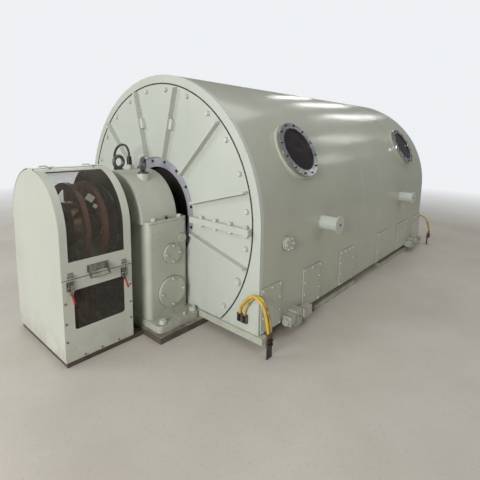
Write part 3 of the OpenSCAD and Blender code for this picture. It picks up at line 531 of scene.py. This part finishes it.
def slab(low, high):
    middle = [(a + b) / 2 for a, b in zip(low, high)]
    bpy.ops.mesh.primitive_cube_add(size=1, location=middle, scale=[b - a for a, b in zip(low, high)])
    return settled()


def rounded(obj, width, segments=2):
    editAll(obj)
    bpy.ops.mesh.bevel(offset=width, segments=segments, affect="EDGES")
    editDone()
    return obj


def joined(objs):
    deselect()
    for obj in objs:
        obj.select_set(True)
    bpy.context.view_layer.objects.active = objs[0]
    if len(objs) > 1:
        bpy.ops.object.join()
    return settled()


def smoothed(obj, angle=35):
    selectOnly(obj)
    bpy.ops.object.shade_smooth_by_angle(angle=radians(angle))
    return obj


def twin(obj, matrix=None):
    copy = obj.copy()
    copy.data = obj.data.copy()
    bpy.context.scene.collection.objects.link(copy)
    if matrix is not None:
        copy.matrix_world = matrix
    return copy


# Names the piece, gives it its finish and its material slot, and lets it ride on a body
def finished(obj, name, finish, body="frame"):
    obj.name = name
    obj.data.name = name
    wear(obj, finish)
    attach(obj, body)
    deselect()
    return obj


# Copies of a master whose own Z points outward at each place; the master goes
def spread(master, places, spin=23):
    copies = []
    for number, (place, outward) in enumerate(places):
        turn = Vector(outward).to_track_quat("Z", "Y").to_matrix().to_4x4()
        own = Matrix.Rotation(radians(spin * number), 4, "Z")
        copies.append(twin(master, Matrix.Translation(place) @ turn @ own))
    bpy.data.objects.remove(master)
    return joined(copies)


def otherEnd(places):
    return [((x, 2 * middleY - y, z), (a, -b, c)) for (x, y, z), (a, b, c) in places]


def bothEnds(places):
    return places + otherEnd(places)


def bothSides(places):
    return places + [((-x, y, z), (-a, b, c)) for (x, y, z), (a, b, c) in places]


def fourCorners(places):
    return bothEnds(bothSides(places))


def mirroredTwin(obj, axis):
    copy = twin(obj)
    editAll(copy)
    bpy.ops.transform.mirror(constraint_axis=[name == axis for name in "XYZ"], orient_type="GLOBAL",
                             center_override=(0, middleY if axis == "Y" else 0, 0))
    bpy.ops.mesh.normals_make_consistent(inside=False)
    editDone()
    return copy


def withMirror(obj, axis):
    return joined([obj, mirroredTwin(obj, axis)])


def boltSize(head, high, washer, washerHigh, **more):
    return dict(head=head, high=high, washer=washer, washerHigh=washerHigh, **more)


# Hexagon head with a chamfered top and a shallow mark, on a washer
def boltMaster(size):
    radius, high, washer, washerHigh = size["head"], size["high"], size["washer"], size["washerHigh"]
    base = pressed(rod(20, washer, washerHigh, (0, 0, washerHigh / 2)), [(washer * 0.08, washerHigh * 0.2)])
    head = rod(6, radius, high, (0, 0, washerHigh + high / 2))
    pressed(head, [(radius * 0.10, high * 0.12), (radius * 0.22, 0), (radius * 0.06, -high * 0.08)])
    return joined([base, head])


def bolted(name, size, places, finish="boltPaint"):
    finished(spread(boltMaster(size), places), name, finish)


# Round head with a hexagon socket
def socketMaster(size):
    radius, high = size["head"], size["high"]
    head = rod(20, radius, high, (0, 0, high / 2))
    return pressed(head, [(radius * 0.12, high * 0.10), (radius * 0.38, 0), (radius * 0.02, -high * 0.5)])


def circlePlaces(middle, radius, angles, across, up, outward):
    middle, across, up = Vector(middle), Vector(across), Vector(up)
    turns = [radians(a) for a in angles]
    return [(tuple(middle + radius * (cos(a) * across + sin(a) * up)), outward) for a in turns]


# Places round a circle on the front end, and round one on the right side
def endCircle(y, radius, angles):
    return circlePlaces((0, y, shaftZ), radius, angles, (1, 0, 0), (0, 0, 1), (0, -1, 0))


def sideCircle(middle, radius, angles):
    return circlePlaces(middle, radius, angles, (0, 1, 0), (0, 0, 1), (1, 0, 0))


hallFloor = {"size": 60, "middle": (0.5, 0.0, 0), "look": {
    "tone": (204, 197, 187), "shade": (190, 183, 172), "dirt": (166, 158, 147), "rough": (0.55, 0.72),
    "fade": (4.5, 10.0)}}
bpy.ops.mesh.primitive_grid_add(x_subdivisions=4, y_subdivisions=4, size=hallFloor["size"],
                                location=hallFloor["middle"])
floor = settled()
floor.name = "hallFloor"
floor.data.materials.append(concreteFinish("paleConcrete", hallFloor["look"]))
deselect()

# Bolts round the covers' rim, with one large plug among them
rimBolts = boltSize(0.018, 0.014, 0.0205, 0.003, ring=1.165, first=-37.5, step=15, count=18, odd=-22.5)
rimAngles = [rimBolts["first"] + rimBolts["step"] * i for i in range(rimBolts["count"])]
rimPlaces = endCircle(frontY, rimBolts["ring"], rimAngles)
oddPlace = endCircle(frontY, rimBolts["ring"], [rimBolts["odd"]])
plainRim = [p for p, angle in zip(rimPlaces, rimAngles) if angle != rimBolts["odd"]]
bolted("coverRimBolts", rimBolts, plainRim + otherEnd(rimPlaces))
oddBolt = dict(rimBolts, head=0.030, high=0.017, washer=0.031)
bolted("coverRimPlug", oddBolt, oddPlace)

# Bolts through the split flange: heads above, nuts below
flangeBolts = boltSize(0.019, 0.016, 0.0225, 0.003, out=0.029, x=[0.66, 0.83, 1.00, 1.17],
                       faces=[(0.025, 1), (-0.028, -1)])
flangePlaces = [((x, frontY - flangeBolts["out"], shaftZ + rise), (0, 0, way))
                for x in flangeBolts["x"] for rise, way in flangeBolts["faces"]]
bolted("splitFlangeBolts", flangeBolts, fourCorners(flangePlaces))

# Bolts of the seal ring
sealBolts = {"head": 0.0125, "high": 0.009, "ring": 0.492, "first": 11.25, "count": 16}
sealAngles = [sealBolts["first"] + 360 / sealBolts["count"] * i for i in range(sealBolts["count"])]
sealPlaces = bothEnds(endCircle(sealY, sealBolts["ring"], sealAngles))
finished(spread(socketMaster(sealBolts), sealPlaces), "sealRingBolts", "boltSteel")

# Windows: bolts on their rings and a thin gasket round the glass
windows = {"y": [-1.180, 1.617], "angle": 28, "face": 1.355, "opening": 0.206, "ring": 0.241, "bolts": 12,
           "gasket": 0.004, "sunk": 0.009}
windowBolt = {"head": 0.0085, "high": 0.008}
slope = radians(windows["angle"])
out = Vector((cos(slope), 0, sin(slope)))
up = Vector((-sin(slope), 0, cos(slope)))
windowAngles = [360 / windows["bolts"] * (i + 0.5) for i in range(windows["bolts"])]
windowPlaces = []
gaskets = []
for y in windows["y"]:
    face = Vector((0, y, shaftZ)) + windows["face"] * out
    windowPlaces += circlePlaces(face, windows["ring"], windowAngles, (0, 1, 0), up, tuple(out))
    bpy.ops.mesh.primitive_torus_add(
        major_radius=windows["opening"] - windows["gasket"], minor_radius=windows["gasket"],
        major_segments=64, minor_segments=8, location=face - windows["sunk"] * out,
        rotation=(0, radians(90 - windows["angle"]), 0))
    gaskets.append(settled())
gaskets += [mirroredTwin(g, "X") for g in gaskets]
finished(smoothed(joined(gaskets), 60), "windowGaskets", "conduitRubber")
finished(spread(socketMaster(windowBolt), bothSides(windowPlaces)), "windowRingBolts", "boltSteel")

# Small bolts along the left, top and right edges of the side covers
sideBolt = boltSize(0.0095, 0.007, 0.0112, 0.0015, edge=0.018, pitch=0.115, down=3)
sideCovers = {"x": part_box("side_covers_right")[1].x, "z": (0.120, 0.500), "y": [
    (-1.830, 0.27), (-1.200, 0.31), (-0.465, 0.33), (0.580, 0.39), (1.310, 0.42), (2.020, 0.34)]}
sidePlaces = []
lowZ, highZ = sideCovers["z"]
top = highZ - sideBolt["edge"]
down = [top - sideBolt["pitch"] * (i + 1) for i in range(sideBolt["down"])]
for start, length in sideCovers["y"]:
    left, right = start + sideBolt["edge"], start + length - sideBolt["edge"]
    count = max(2, round((right - left) / sideBolt["pitch"]))
    across = [left + (right - left) * i / count for i in range(count + 1)]
    sidePlaces += [((sideCovers["x"], y, top), (1, 0, 0)) for y in across]
    sidePlaces += [((sideCovers["x"], y, z), (1, 0, 0)) for y in (left, right) for z in down]
bolted("sideCoverBolts", sideBolt, bothSides(sidePlaces))

# Bolts of the blank ports
portBolt = boltSize(0.0085, 0.008, 0.0095, 0.0015)
portLow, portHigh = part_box("blank_ports")
port = {"y": -1.488, "z": 0.809, "ring": 0.047}
portPlaces = sideCircle((portHigh.x, port["y"], port["z"]), port["ring"], range(0, 360, 60))
bolted("portBolts", portBolt, bothSides(portPlaces))

# Four bolts on each large round cover of the pedestals
discBolt = boltSize(0.0125, 0.010, 0.0145, 0.002, out=0.026,
                    rings=[(-2.063, 0.667, 0.070), (-2.068, 0.318, 0.117)])
discPlaces = []
for y, z, ring in discBolt["rings"]:
    discPlaces += sideCircle((bodyHalf + discBolt["out"], y, z), ring, range(0, 360, 90))
bolted("pedestalCoverBolts", discBolt, fourCorners(discPlaces))

# Bolts on the joint flange of the bearing caps, with a stud and nut between them
capBolt = boltSize(0.020, 0.017, 0.023, 0.003, x=bodyHalf - 0.030, y=[-2.230, -1.950])
jointZ = shaftZ + 0.020
capPlaces = [((capBolt["x"], y, jointZ), (0, 0, 1)) for y in capBolt["y"]]
bolted("capJointBolts", capBolt, fourCorners(capPlaces))
capStud = boltSize(0.014, 0.012, 0.016, 0.002, y=-2.090, radius=0.007, length=0.024, middle=0.016,
                   edge=0.001)
studNut = boltMaster(capStud)
stud = rod(12, capStud["radius"], capStud["length"], (0, 0, capStud["middle"]))
stud = joined([studNut, rounded(stud, capStud["edge"], 1)])
studPlaces = fourCorners([((capBolt["x"], capStud["y"], jointZ), (0, 0, 1))])
finished(spread(stud, studPlaces), "capStuds", "boltSteel")

# Holding-down bolts on the pedestal's foot, and a levelling screw beside them
footZ = 0.113
anchorBolt = boltSize(0.029, 0.024, 0.036, 0.005, x=0.583, y=[-2.250, -1.910])
anchorPlaces = [((anchorBolt["x"], y, footZ), (0, 0, 1)) for y in anchorBolt["y"]]
bolted("anchorBolts", anchorBolt, fourCorners(anchorPlaces))
levelScrew = boltSize(0.013, 0.014, 0.015, 0.003, place=(0.588, -2.015, footZ))
levelPlaces = fourCorners([(levelScrew["place"], (0, 0, 1))])
bolted("footScrews", levelScrew, levelPlaces)

# Bolts on the earth lugs: two through each lug on the plate and two through each lug on the bar
lugBolt = boltSize(0.0125, 0.010, 0.016, 0.0025, out=0.024, plateX=(1.118, 1.170), plateZ=(0.204, 0.234),
                   barY=(-1.924, -1.890), barZ=(0.128, 0.162))
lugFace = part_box("earth_lugs")[1].x
lugPlaces = [((x, frontY - lugBolt["out"], z), (0, -1, 0))
             for x in lugBolt["plateX"] for z in lugBolt["plateZ"]]
lugPlaces += [((lugFace, y, z), (1, 0, 0)) for y in lugBolt["barY"] for z in lugBolt["barZ"]]
bolted("earthLugBolts", lugBolt, bothEnds(lugPlaces), "boltSteel")

# Screws of the hood's lower panels and of the lift handles
hoodScrew = {"head": 0.008, "high": 0.004, "handle": (0.004, 0.734), "handleY": (-2.815, -2.743, -2.671),
             "panel": [(-2.999, 0.498), (-2.999, 0.344), (-2.999, 0.205), (-2.474, 0.498), (-2.474, 0.348),
                       (-2.474, 0.208), (-2.871, 0.060), (-2.735, 0.060), (-2.590, 0.060)]}
screwPlaces = [((hoodR, y, z), (1, 0, 0)) for y, z in hoodScrew["panel"]]
panelScrews = spread(socketMaster(hoodScrew), bothSides(screwPlaces))
finished(panelScrews, "hoodPanelScrews", "chrome")
proud, z = hoodScrew["handle"]
for side, body in ((1, "door_right"), (-1, "door_left")):
    places = [((side * (hoodR + proud), y, z), (side, 0, 0)) for y in hoodScrew["handleY"]]
    finished(spread(socketMaster(hoodScrew), places), f"handleScrews_{body}", "chrome", body)

# Thin dark rings under the washers, partly old dirt and partly painted contact shadow: places and radius
dirtAndShadeRings = {"thick": 0.0010, "inset": 0.04, "rise": 0.0003, "rings": [
    (plainRim + otherEnd(rimPlaces), 0.0232), (oddPlace, 0.0335), (fourCorners(flangePlaces), 0.0252),
    (fourCorners(discPlaces), 0.0168), (fourCorners(capPlaces), 0.0262), (fourCorners(anchorPlaces), 0.0400),
    (bothSides(portPlaces), 0.0112), (bothSides(sidePlaces), 0.0128)]}
rings = []
for places, radius in dirtAndShadeRings["rings"]:
    steps = [(radius * dirtAndShadeRings["inset"], dirtAndShadeRings["rise"])]
    stain = pressed(rod(20, radius, dirtAndShadeRings["thick"]), steps)
    rings.append(spread(stain, places))
# The rings are dirt and painted contact shadow round each washer
finished(joined(rings), "boltDirtAndShade", "grime")
print("bolts and screws placed")

# Woven wire in the hood's windows: two families of bent wires that pass over and under each other
weave = {"wire": 0.0008, "pitch": 0.011, "step": 0.0055, "bend": 1.05, "lap": 0.010}


def sheetOfWire(width, height):
    pitch, wire = weave["pitch"], weave["wire"]
    turns = ceil((width + height) / sqrt(2) / 2 / pitch / 2) * 2
    reach = 2 * turns * pitch
    bpy.ops.mesh.primitive_cylinder_add(vertices=4, radius=wire, depth=reach, end_fill_type="NOTHING",
                                        rotation=(0, radians(90), 0))
    first = settled()
    pickNone(first, "EDGE")
    for edge in first.data.edges:
        a, b = [first.data.vertices[v].co for v in edge.vertices]
        edge.select = abs(a.x - b.x) > reach / 2
    editing(first)
    bpy.ops.mesh.subdivide(number_cuts=round(reach / weave["step"]) - 1)
    editDone()
    second = twin(first, Matrix.Translation((0, pitch, 0)))
    for obj, way in ((first, 1), (second, -1)):
        for point in obj.data.vertices:
            point.co.z += way * wire * weave["bend"] * cos(pi * point.co.x / pitch)
    family = joined([first, second])
    rows = family.modifiers.new("rows", "ARRAY")
    rows.use_relative_offset = False
    rows.use_constant_offset = True
    rows.constant_offset_displace = (0, 2 * pitch, 0)
    rows.count = turns
    bpy.ops.object.modifier_apply(modifier="rows")
    family.location.y = -turns * pitch
    family = joined([family])
    crossing = twin(family, Matrix.Rotation(radians(90), 4, "Z") @ Matrix.Scale(-1, 4, (0, 0, 1)))
    crossing = joined([crossing])
    editAll(crossing)
    bpy.ops.mesh.flip_normals()
    editDone()
    both = joined([family, crossing])
    both.rotation_euler.z = radians(45)
    both = joined([both])
    editing(both)
    for axis, half in (((1, 0, 0), width / 2), ((0, 1, 0), height / 2)):
        for way in (1, -1):
            bpy.ops.mesh.select_all(action="SELECT")
            bpy.ops.mesh.bisect(plane_co=[way * half * a for a in axis], plane_no=[way * a for a in axis],
                                clear_outer=True)
    editDone()
    return both


# Bends the flat sheet: its X runs along the hood and its Y up the side and round the arch
def wrapped(sheet, middleAlong, middleUp, radius):
    for point in sheet.data.vertices:
        along, up, out = point.co.x + middleAlong, point.co.y + middleUp, radius + point.co.z
        if up < 0:
            point.co = (out, along, hoodAxisZ + up)
        else:
            point.co = (out * cos(up / radius), along, hoodAxisZ + out * sin(up / radius))
    sheet.data.update()
    return sheet


doorWindow = {"y": (hoodFront + 0.052 - weave["lap"], hoodBack - 0.063 + weave["lap"]),
              "z": seamZ + 0.129 - weave["lap"], "x": 0.141 - weave["lap"], "radius": 0.448}
top = doorWindow["radius"] * acos(doorWindow["x"] / doorWindow["radius"])
bottom = doorWindow["z"] - hoodAxisZ
y0, y1 = doorWindow["y"]
doorWeave = sheetOfWire(y1 - y0, top - bottom)
wrapped(doorWeave, (y0 + y1) / 2, (top + bottom) / 2, doorWindow["radius"])
leftWeave = mirroredTwin(doorWeave, "X")
for obj, side in ((doorWeave, "right"), (leftWeave, "left")):
    finished(smoothed(obj, 100), f"doorWeave_{side}", "wireSteel", f"door_{side}")
    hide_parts(f"door_mesh_{side}")
panelWindow = {"y": (hoodFront + 0.080 - weave["lap"], hoodBack - 0.072 + weave["lap"]),
               "z": (seamZ - 0.388 - weave["lap"], seamZ - 0.086 + weave["lap"]), "x": 0.443}
y0, y1 = panelWindow["y"]
z0, z1 = panelWindow["z"]
panelWeave = sheetOfWire(y1 - y0, z1 - z0)
wrapped(panelWeave, (y0 + y1) / 2, (z0 + z1) / 2 - hoodAxisZ, panelWindow["x"])
for obj, side in ((mirroredTwin(panelWeave, "X"), "left"), (panelWeave, "right")):
    finished(smoothed(obj, 100), f"panelWeave_{side}", "wireSteel", "frame")
    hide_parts("hood_lower_meshes")
print("woven wire in the hood")

# Corrugated dust screen behind the brushes, which closes the hood's back round the shaft
dustScreen = {"inner": 0.118, "outer": 0.315, "y": hoodBack - 0.030, "folds": 7, "deep": 0.004,
              "thick": 0.003}
screenMiddle = (0, dustScreen["y"], shaftZ)
bpy.ops.mesh.primitive_circle_add(vertices=72, radius=dustScreen["outer"], fill_type="NOTHING",
                                  location=screenMiddle, rotation=(radians(90), 0, 0))
screen = settled()
editAll(screen)
step = (dustScreen["inner"] / dustScreen["outer"]) ** (1 / dustScreen["folds"])
for fold in range(dustScreen["folds"]):
    bpy.ops.mesh.extrude_region_move()
    bpy.ops.transform.resize(value=(step, 1, step), center_override=screenMiddle)
    bpy.ops.transform.translate(value=(0, dustScreen["deep"] * (1 if fold % 2 else -1), 0))
bpy.ops.mesh.select_all(action="SELECT")
bpy.ops.mesh.extrude_region_move()
bpy.ops.transform.translate(value=(0, dustScreen["thick"], 0))
bpy.ops.mesh.select_all(action="SELECT")
bpy.ops.mesh.normals_make_consistent(inside=False)
editDone()
finished(smoothed(screen, 20), "hoodDustScreen", "coreSteel")

# Red grips on the latch levers: a dipped sleeve, slimmer at its neck, that leans outward
grip = {"radius": 0.0085, "length": 0.080, "x": hoodR + 0.013, "y": [-2.955, -2.525], "top": 0.570,
        "lean": 36, "neck": 0.86, "crown": [(0.25, 0.003)], "tip": [(0.25, -0.0025), (0.30, -0.0015)]}
sleeve = rod(16, grip["radius"], grip["length"], (0, 0, -grip["length"] / 2))
for steps, way in ((grip["crown"], 1), (grip["tip"], -1)):
    pressed(sleeve, [(grip["radius"] * share, rise) for share, rise in steps], way)
for point in sleeve.data.vertices:
    if point.co.z > -grip["length"] / 3:
        point.co.x *= grip["neck"]
        point.co.y *= grip["neck"]
lean = Matrix.Rotation(radians(-grip["lean"]), 4, "Y")
grips = [twin(sleeve, Matrix.Translation((grip["x"], y, grip["top"])) @ lean) for y in grip["y"]]
bpy.data.objects.remove(sleeve)
grips = withMirror(joined(grips), "X")
finished(smoothed(grips, 50), "latchGrips", "gripRed", "frame")
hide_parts("latch_grips")

# Pins across the latches and a folded catch above each one
latch = {"pin": 0.0045, "pinLong": 0.046, "pinDown": 0.052, "pinEdge": 0.001, "fold": (0.003, 0.007),
         "half": 0.017, "foldDown": (0.030, 0.016), "foldEdge": 0.0012}
catches = []
for y in grip["y"]:
    pin = rod(12, latch["pin"], latch["pinLong"], (grip["x"], y, seamZ - latch["pinDown"]), (90, 0, 0))
    catches.append(rounded(pin, latch["pinEdge"], 1))
    near, far = latch["fold"]
    low, high = latch["foldDown"]
    y0, y1 = y - latch["half"], y + latch["half"]
    fold = slab((hoodR + near, y0, seamZ - low), (hoodR + far, y1, seamZ - high))
    catches.append(rounded(fold, latch["foldEdge"]))
finished(smoothed(withMirror(joined(catches), "X")), "latchPins", "chrome", "frame")
print("latches dressed")


def curveOf(name, radius, fineness, kind):
    line = bpy.data.curves.new(name, "CURVE")
    line.dimensions = "3D"
    line.bevel_depth = radius
    line.bevel_resolution = fineness
    obj = bpy.data.objects.new(name, line)
    bpy.context.scene.collection.objects.link(obj)
    return obj, line, line.splines.new(kind)


# Cords: a smooth curve through points, with filled caps, which stands in for a CAD node that is hidden
def cordAlong(name, points, diameter, finish, node):
    obj, line, spline = curveOf(name, diameter / 2, 5, "BEZIER")
    line.resolution_u = 8
    line.use_fill_caps = True
    spline.bezier_points.add(len(points) - 1)
    for knot, point in zip(spline.bezier_points, points):
        knot.co = point
        knot.handle_left_type = knot.handle_right_type = "AUTO"
    line.materials.append(finishes[finish])
    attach(obj, "frame")
    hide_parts(node)


def arched(start, end, arch, lastZ):
    (x0, y0, z0), (x1, y1) = start, end
    points = [(x0 + share * (x1 - x0), y0 + share * (y1 - y0), z0 + high) for share, high in arch]
    return points + [(x1, y1, lastZ)]


# Each arch: share of the way across, and height in metres above the start
cableArch = [(0, 0), (0, 0.012), (0.012, 0.034), (0.04, 0.060), (0.12, 0.097), (0.2, 0.130), (0.31, 0.167),
             (0.45, 0.195), (0.58, 0.201), (0.7, 0.188), (0.81, 0.158), (0.89, 0.112), (0.945, 0.058),
             (0.982, 0.014), (1, -0.012)]
earthCable = {"diameter": 0.022, "fromX": lugBolt["plateX"], "fromY": -1.866, "fromZ": 0.255, "toX": 1.451,
              "toY": lugBolt["barY"], "toZ": 0.225, "finish": ["cableJacket", "dirtyJacket"]}
for end in ("front", "rear"):
    for number in (0, 1):
        ys = [earthCable["fromY"], earthCable["toY"][number]]
        if end == "rear":
            ys = [2 * middleY - y for y in ys]
        start = (earthCable["fromX"][number], ys[0], earthCable["fromZ"])
        route = arched(start, (earthCable["toX"], ys[1]), cableArch, earthCable["toZ"])
        cordAlong(f"earthCable_{end}{number}", route, earthCable["diameter"], earthCable["finish"][number],
                  "earth_cables")

hoseArch = [(0, 0), (0, 0.005), (0.022, 0.039), (0.087, 0.069), (0.186, 0.092), (0.276, 0.102),
            (0.373, 0.105), (0.535, 0.101), (0.686, 0.088), (0.816, 0.068), (0.916, 0.041), (0.979, 0.011),
            (1, -0.022), (1, -0.067), (1, -0.112)]
hose = {"diameter": 0.022, "from": (0, -2.160, 1.499), "to": (-0.290, -2.140), "toZ": 1.322}
hoseRoute = arched(hose["from"], hose["to"], hoseArch, hose["toZ"])
cordAlong("sensorHose", hoseRoute, hose["diameter"], "conduitRubber", "sensor_conduit")
print("cables and hose laid")


# Half-sunk beads: lines along the arch of the casing, and circles that face the side
def archLine(radius, y, low, count=60, rises=6):
    side = [(radius, y, low + (shaftZ - low) * i / rises) for i in range(rises)]
    bow = [(radius * cos(pi * i / count), y, shaftZ + radius * sin(pi * i / count))
           for i in range(count + 1)]
    return side + bow + [(-x, y, z) for x, y, z in reversed(side)]


def circleLine(x, y, z, radius, count=48):
    turns = [tau * i / count for i in range(count)]
    return [(x, y + radius * cos(a), z + radius * sin(a)) for a in turns]


def bead(name, points, radius, cyclic=False):
    obj, line, spline = curveOf(name, radius, 2, "POLY")
    spline.points.add(len(points) - 1)
    for knot, point in zip(spline.points, points):
        knot.co = (*point, 1)
    spline.use_cyclic_u = cyclic
    selectOnly(obj)
    bpy.ops.object.convert(target="MESH")
    return bpy.context.object


# Welds of the casing's courses and round the trunnions' roots
seams = {"y": [0.070, 0.620, 1.560], "radius": 0.0028, "sunk": 0.001, "above": 0.01}
beads = [bead("seam", archLine(casingR - seams["sunk"], y, casingZ + seams["above"]), seams["radius"])
         for y in seams["y"]]
trunnion = {"y": [-0.880, 1.340], "z": 0.893, "radius": 0.066, "face": 1.484, "weld": 0.007, "off": 0.002}
for y in trunnion["y"]:
    ring = circleLine(casingR + trunnion["off"], y, trunnion["z"], trunnion["radius"] + trunnion["off"])
    root = bead("root", ring, trunnion["weld"], cyclic=True)
    beads += [root, mirroredTwin(root, "X")]
finished(smoothed(joined(beads), 60), "weldBeads", "shellPaint")

# Painted shadow: a dark bead in the gap round the end covers
gapShade = {"radius": 1.221, "bead": 0.0064, "from": -43, "to": 223, "steps": 96}
arc = [radians(gapShade["from"] + (gapShade["to"] - gapShade["from"]) * i / gapShade["steps"])
       for i in range(gapShade["steps"] + 1)]
gapShadeBead = bead("gapShade", [(gapShade["radius"] * cos(a), frontY, shaftZ + gapShade["radius"] * sin(a))
                           for a in arc], gapShade["bead"])
finished(smoothed(withMirror(gapShadeBead, "Y"), 60), "coverGapShade", "conduitRubber")

# Small lugs welded to the right of the two upper ribs
ribLug = {"from": 0.826, "to": 0.925, "out": 0.038, "sunk": 0.001, "side": (-0.043, -0.008), "edge": 0.003,
          "angles": (75, 105)}
lugs = []
for angle in ribLug["angles"]:
    near, far = ribLug["side"]
    lug = slab((ribLug["from"], frontY - ribLug["out"], near), (ribLug["to"], frontY + ribLug["sunk"], far))
    rounded(lug, ribLug["edge"])
    lug.rotation_euler.y = -radians(angle)
    lug.location.z = shaftZ
    lugs.append(settled())
finished(joined(lugs + [mirroredTwin(lug, "Y") for lug in lugs]), "ribLugs", "boltPaint")

# Painted shadow: dark lines in the corners round the flat covers, the ports and the jacking blocks
corner = {"width": 0.0016, "off": 0.001,
          "discs": [(-2.063, 0.667, 0.088), (-2.068, 0.318, 0.138), (-1.943, 0.783, 0.044)]}
lines = []
for y, z, radius in corner["discs"]:
    circle = circleLine(bodyHalf, y, z, radius + corner["off"])
    line = bead("corner", circle, corner["width"], cyclic=True)
    lines += [line, mirroredTwin(line, "Y")]
portR = (portHigh.z - portLow.z) / 2 + corner["off"]
circle = circleLine(casingR + corner["off"], port["y"], port["z"], portR)
lines.append(bead("corner", circle, corner["width"], cyclic=True))
for start, length in sideCovers["y"]:
    outline = [(casingR, start, lowZ), (casingR, start, highZ), (casingR, start + length, highZ),
               (casingR, start + length, lowZ)]
    lines.append(bead("corner", outline, corner["width"]))
# Painted shadow lines at the joints between a jacking block's plates: place along it, reach outward, foot
# and top
jackJoints = {"width": 0.0030, "y": [-1.506, 1.735], "plates": [
    (0.012, 0.084, -0.025, 0.059), (0.086, 0.084, -0.025, 0.061), (0.188, 0.084, 0.004, 0.076),
    (0.204, 0.085, -0.027, 0.058)]}
for y in jackJoints["y"]:
    for along, out, low, high in jackJoints["plates"]:
        bent = [(casingR + out, y + along, casingZ + low), (casingR + out, y + along, casingZ + high),
                (casingR, y + along, casingZ + high)]
        lines.append(bead("corner", bent, jackJoints["width"]))
# The lines are painted shadow in the corners and joints
finished(smoothed(withMirror(joined(lines), "X"), 60), "cornerShadeLines", "grime")

# Split line of the bearing housing, broken by paint
splitLine = {"z": jointZ - 0.023, "high": 0.003, "proud": 0.0008, "sunk": 0.001, "end": 0.01,
             "edge": 0.0003, "dashes": [(0.03, 0.10), (0.12, 0.26), (0.29, 0.33), (0.36, 0.50), (0.53, 0.56),
                                        (0.60, 0.80), (0.84, 0.95)]}
dashes = []
deep = pedestalHigh.y - pedestalLow.y - 2 * splitLine["end"]
for shares in splitLine["dashes"]:
    y0, y1 = [pedestalLow.y + splitLine["end"] + share * deep for share in shares]
    dash = slab((bodyHalf - splitLine["sunk"], y0, splitLine["z"]),
                (bodyHalf + splitLine["proud"], y1, splitLine["z"] + splitLine["high"]))
    dashes.append(rounded(dash, splitLine["edge"], 1))
dashes = withMirror(withMirror(joined(dashes), "X"), "Y")
finished(dashes, "splitLines", "conduitRubber")

# Painted shade: dark discs in the tapped holes of the bearing housing and in the jacking blocks' drilled
# holes
tapped = {"radius": 0.0060, "high": 0.0012, "steps": [(0.0008, -0.0009)], "y": (-2.250, -2.180),
          "z": (0.866, 0.812, 0.756)}
tappedPlaces = [((bodyHalf, y, z), (1, 0, 0)) for y in tapped["y"] for z in tapped["z"]]
holeShades = pressed(rod(12, tapped["radius"], tapped["high"]), tapped["steps"])
holeShades = spread(holeShades, fourCorners(tappedPlaces))
jackHoleShade = {"radius": 0.0105, "high": 0.004, "steps": [(0.002, -0.001)], "x": casingR + 0.0827,
            "y": (-1.360, 1.881), "z": casingZ + 0.022}
plugPlaces = [((jackHoleShade["x"], y, jackHoleShade["z"]), (1, 0, 0)) for y in jackHoleShade["y"]]
plug = pressed(rod(20, jackHoleShade["radius"], jackHoleShade["high"]), jackHoleShade["steps"])
holeShades = joined([holeShades, spread(plug, bothSides(plugPlaces))])
# The discs are painted shade in the holes
finished(holeShades, "holeShadeDiscs", "conduitRubber")

# Centre plugs on the trunnions' discs
centre = {"radius": 0.011, "high": 0.004, "steps": [(0.003, -0.002)]}
plug = pressed(rod(16, centre["radius"], centre["high"], (0, 0, 0.001)), centre["steps"])
plugPlaces = [((trunnion["face"], y, trunnion["z"]), (1, 0, 0)) for y in trunnion["y"]]
finished(spread(plug, bothSides(plugPlaces)), "trunnionCentres", "boltSteel")

# Blank plates on the right door: place along it, angle round the arch and half width
doorPlates = {"thick": 0.0015, "edge": 0.0006, "turn": 45,
              "plates": [(-2.744, 32.4, 0.030), (-2.724, 24.0, 0.015)]}
plates = []
for y, angle, half in doorPlates["plates"]:
    plate = rounded(slab((-half, -half, 0), (half, half, doorPlates["thick"])), doorPlates["edge"], 1)
    own = Matrix.Rotation(radians(doorPlates["turn"]), 4, "Z")
    turn = Matrix.Rotation(radians(90 - angle), 4, "Y") @ own
    x, z = hoodR * cos(radians(angle)), hoodAxisZ + hoodR * sin(radians(angle))
    plate.matrix_world = Matrix.Translation(Vector((x, y, z))) @ turn
    plates.append(plate)
finished(joined(plates), "doorPlates", "platePaintDull", "door_right")
print("welds, plugs and plates added")
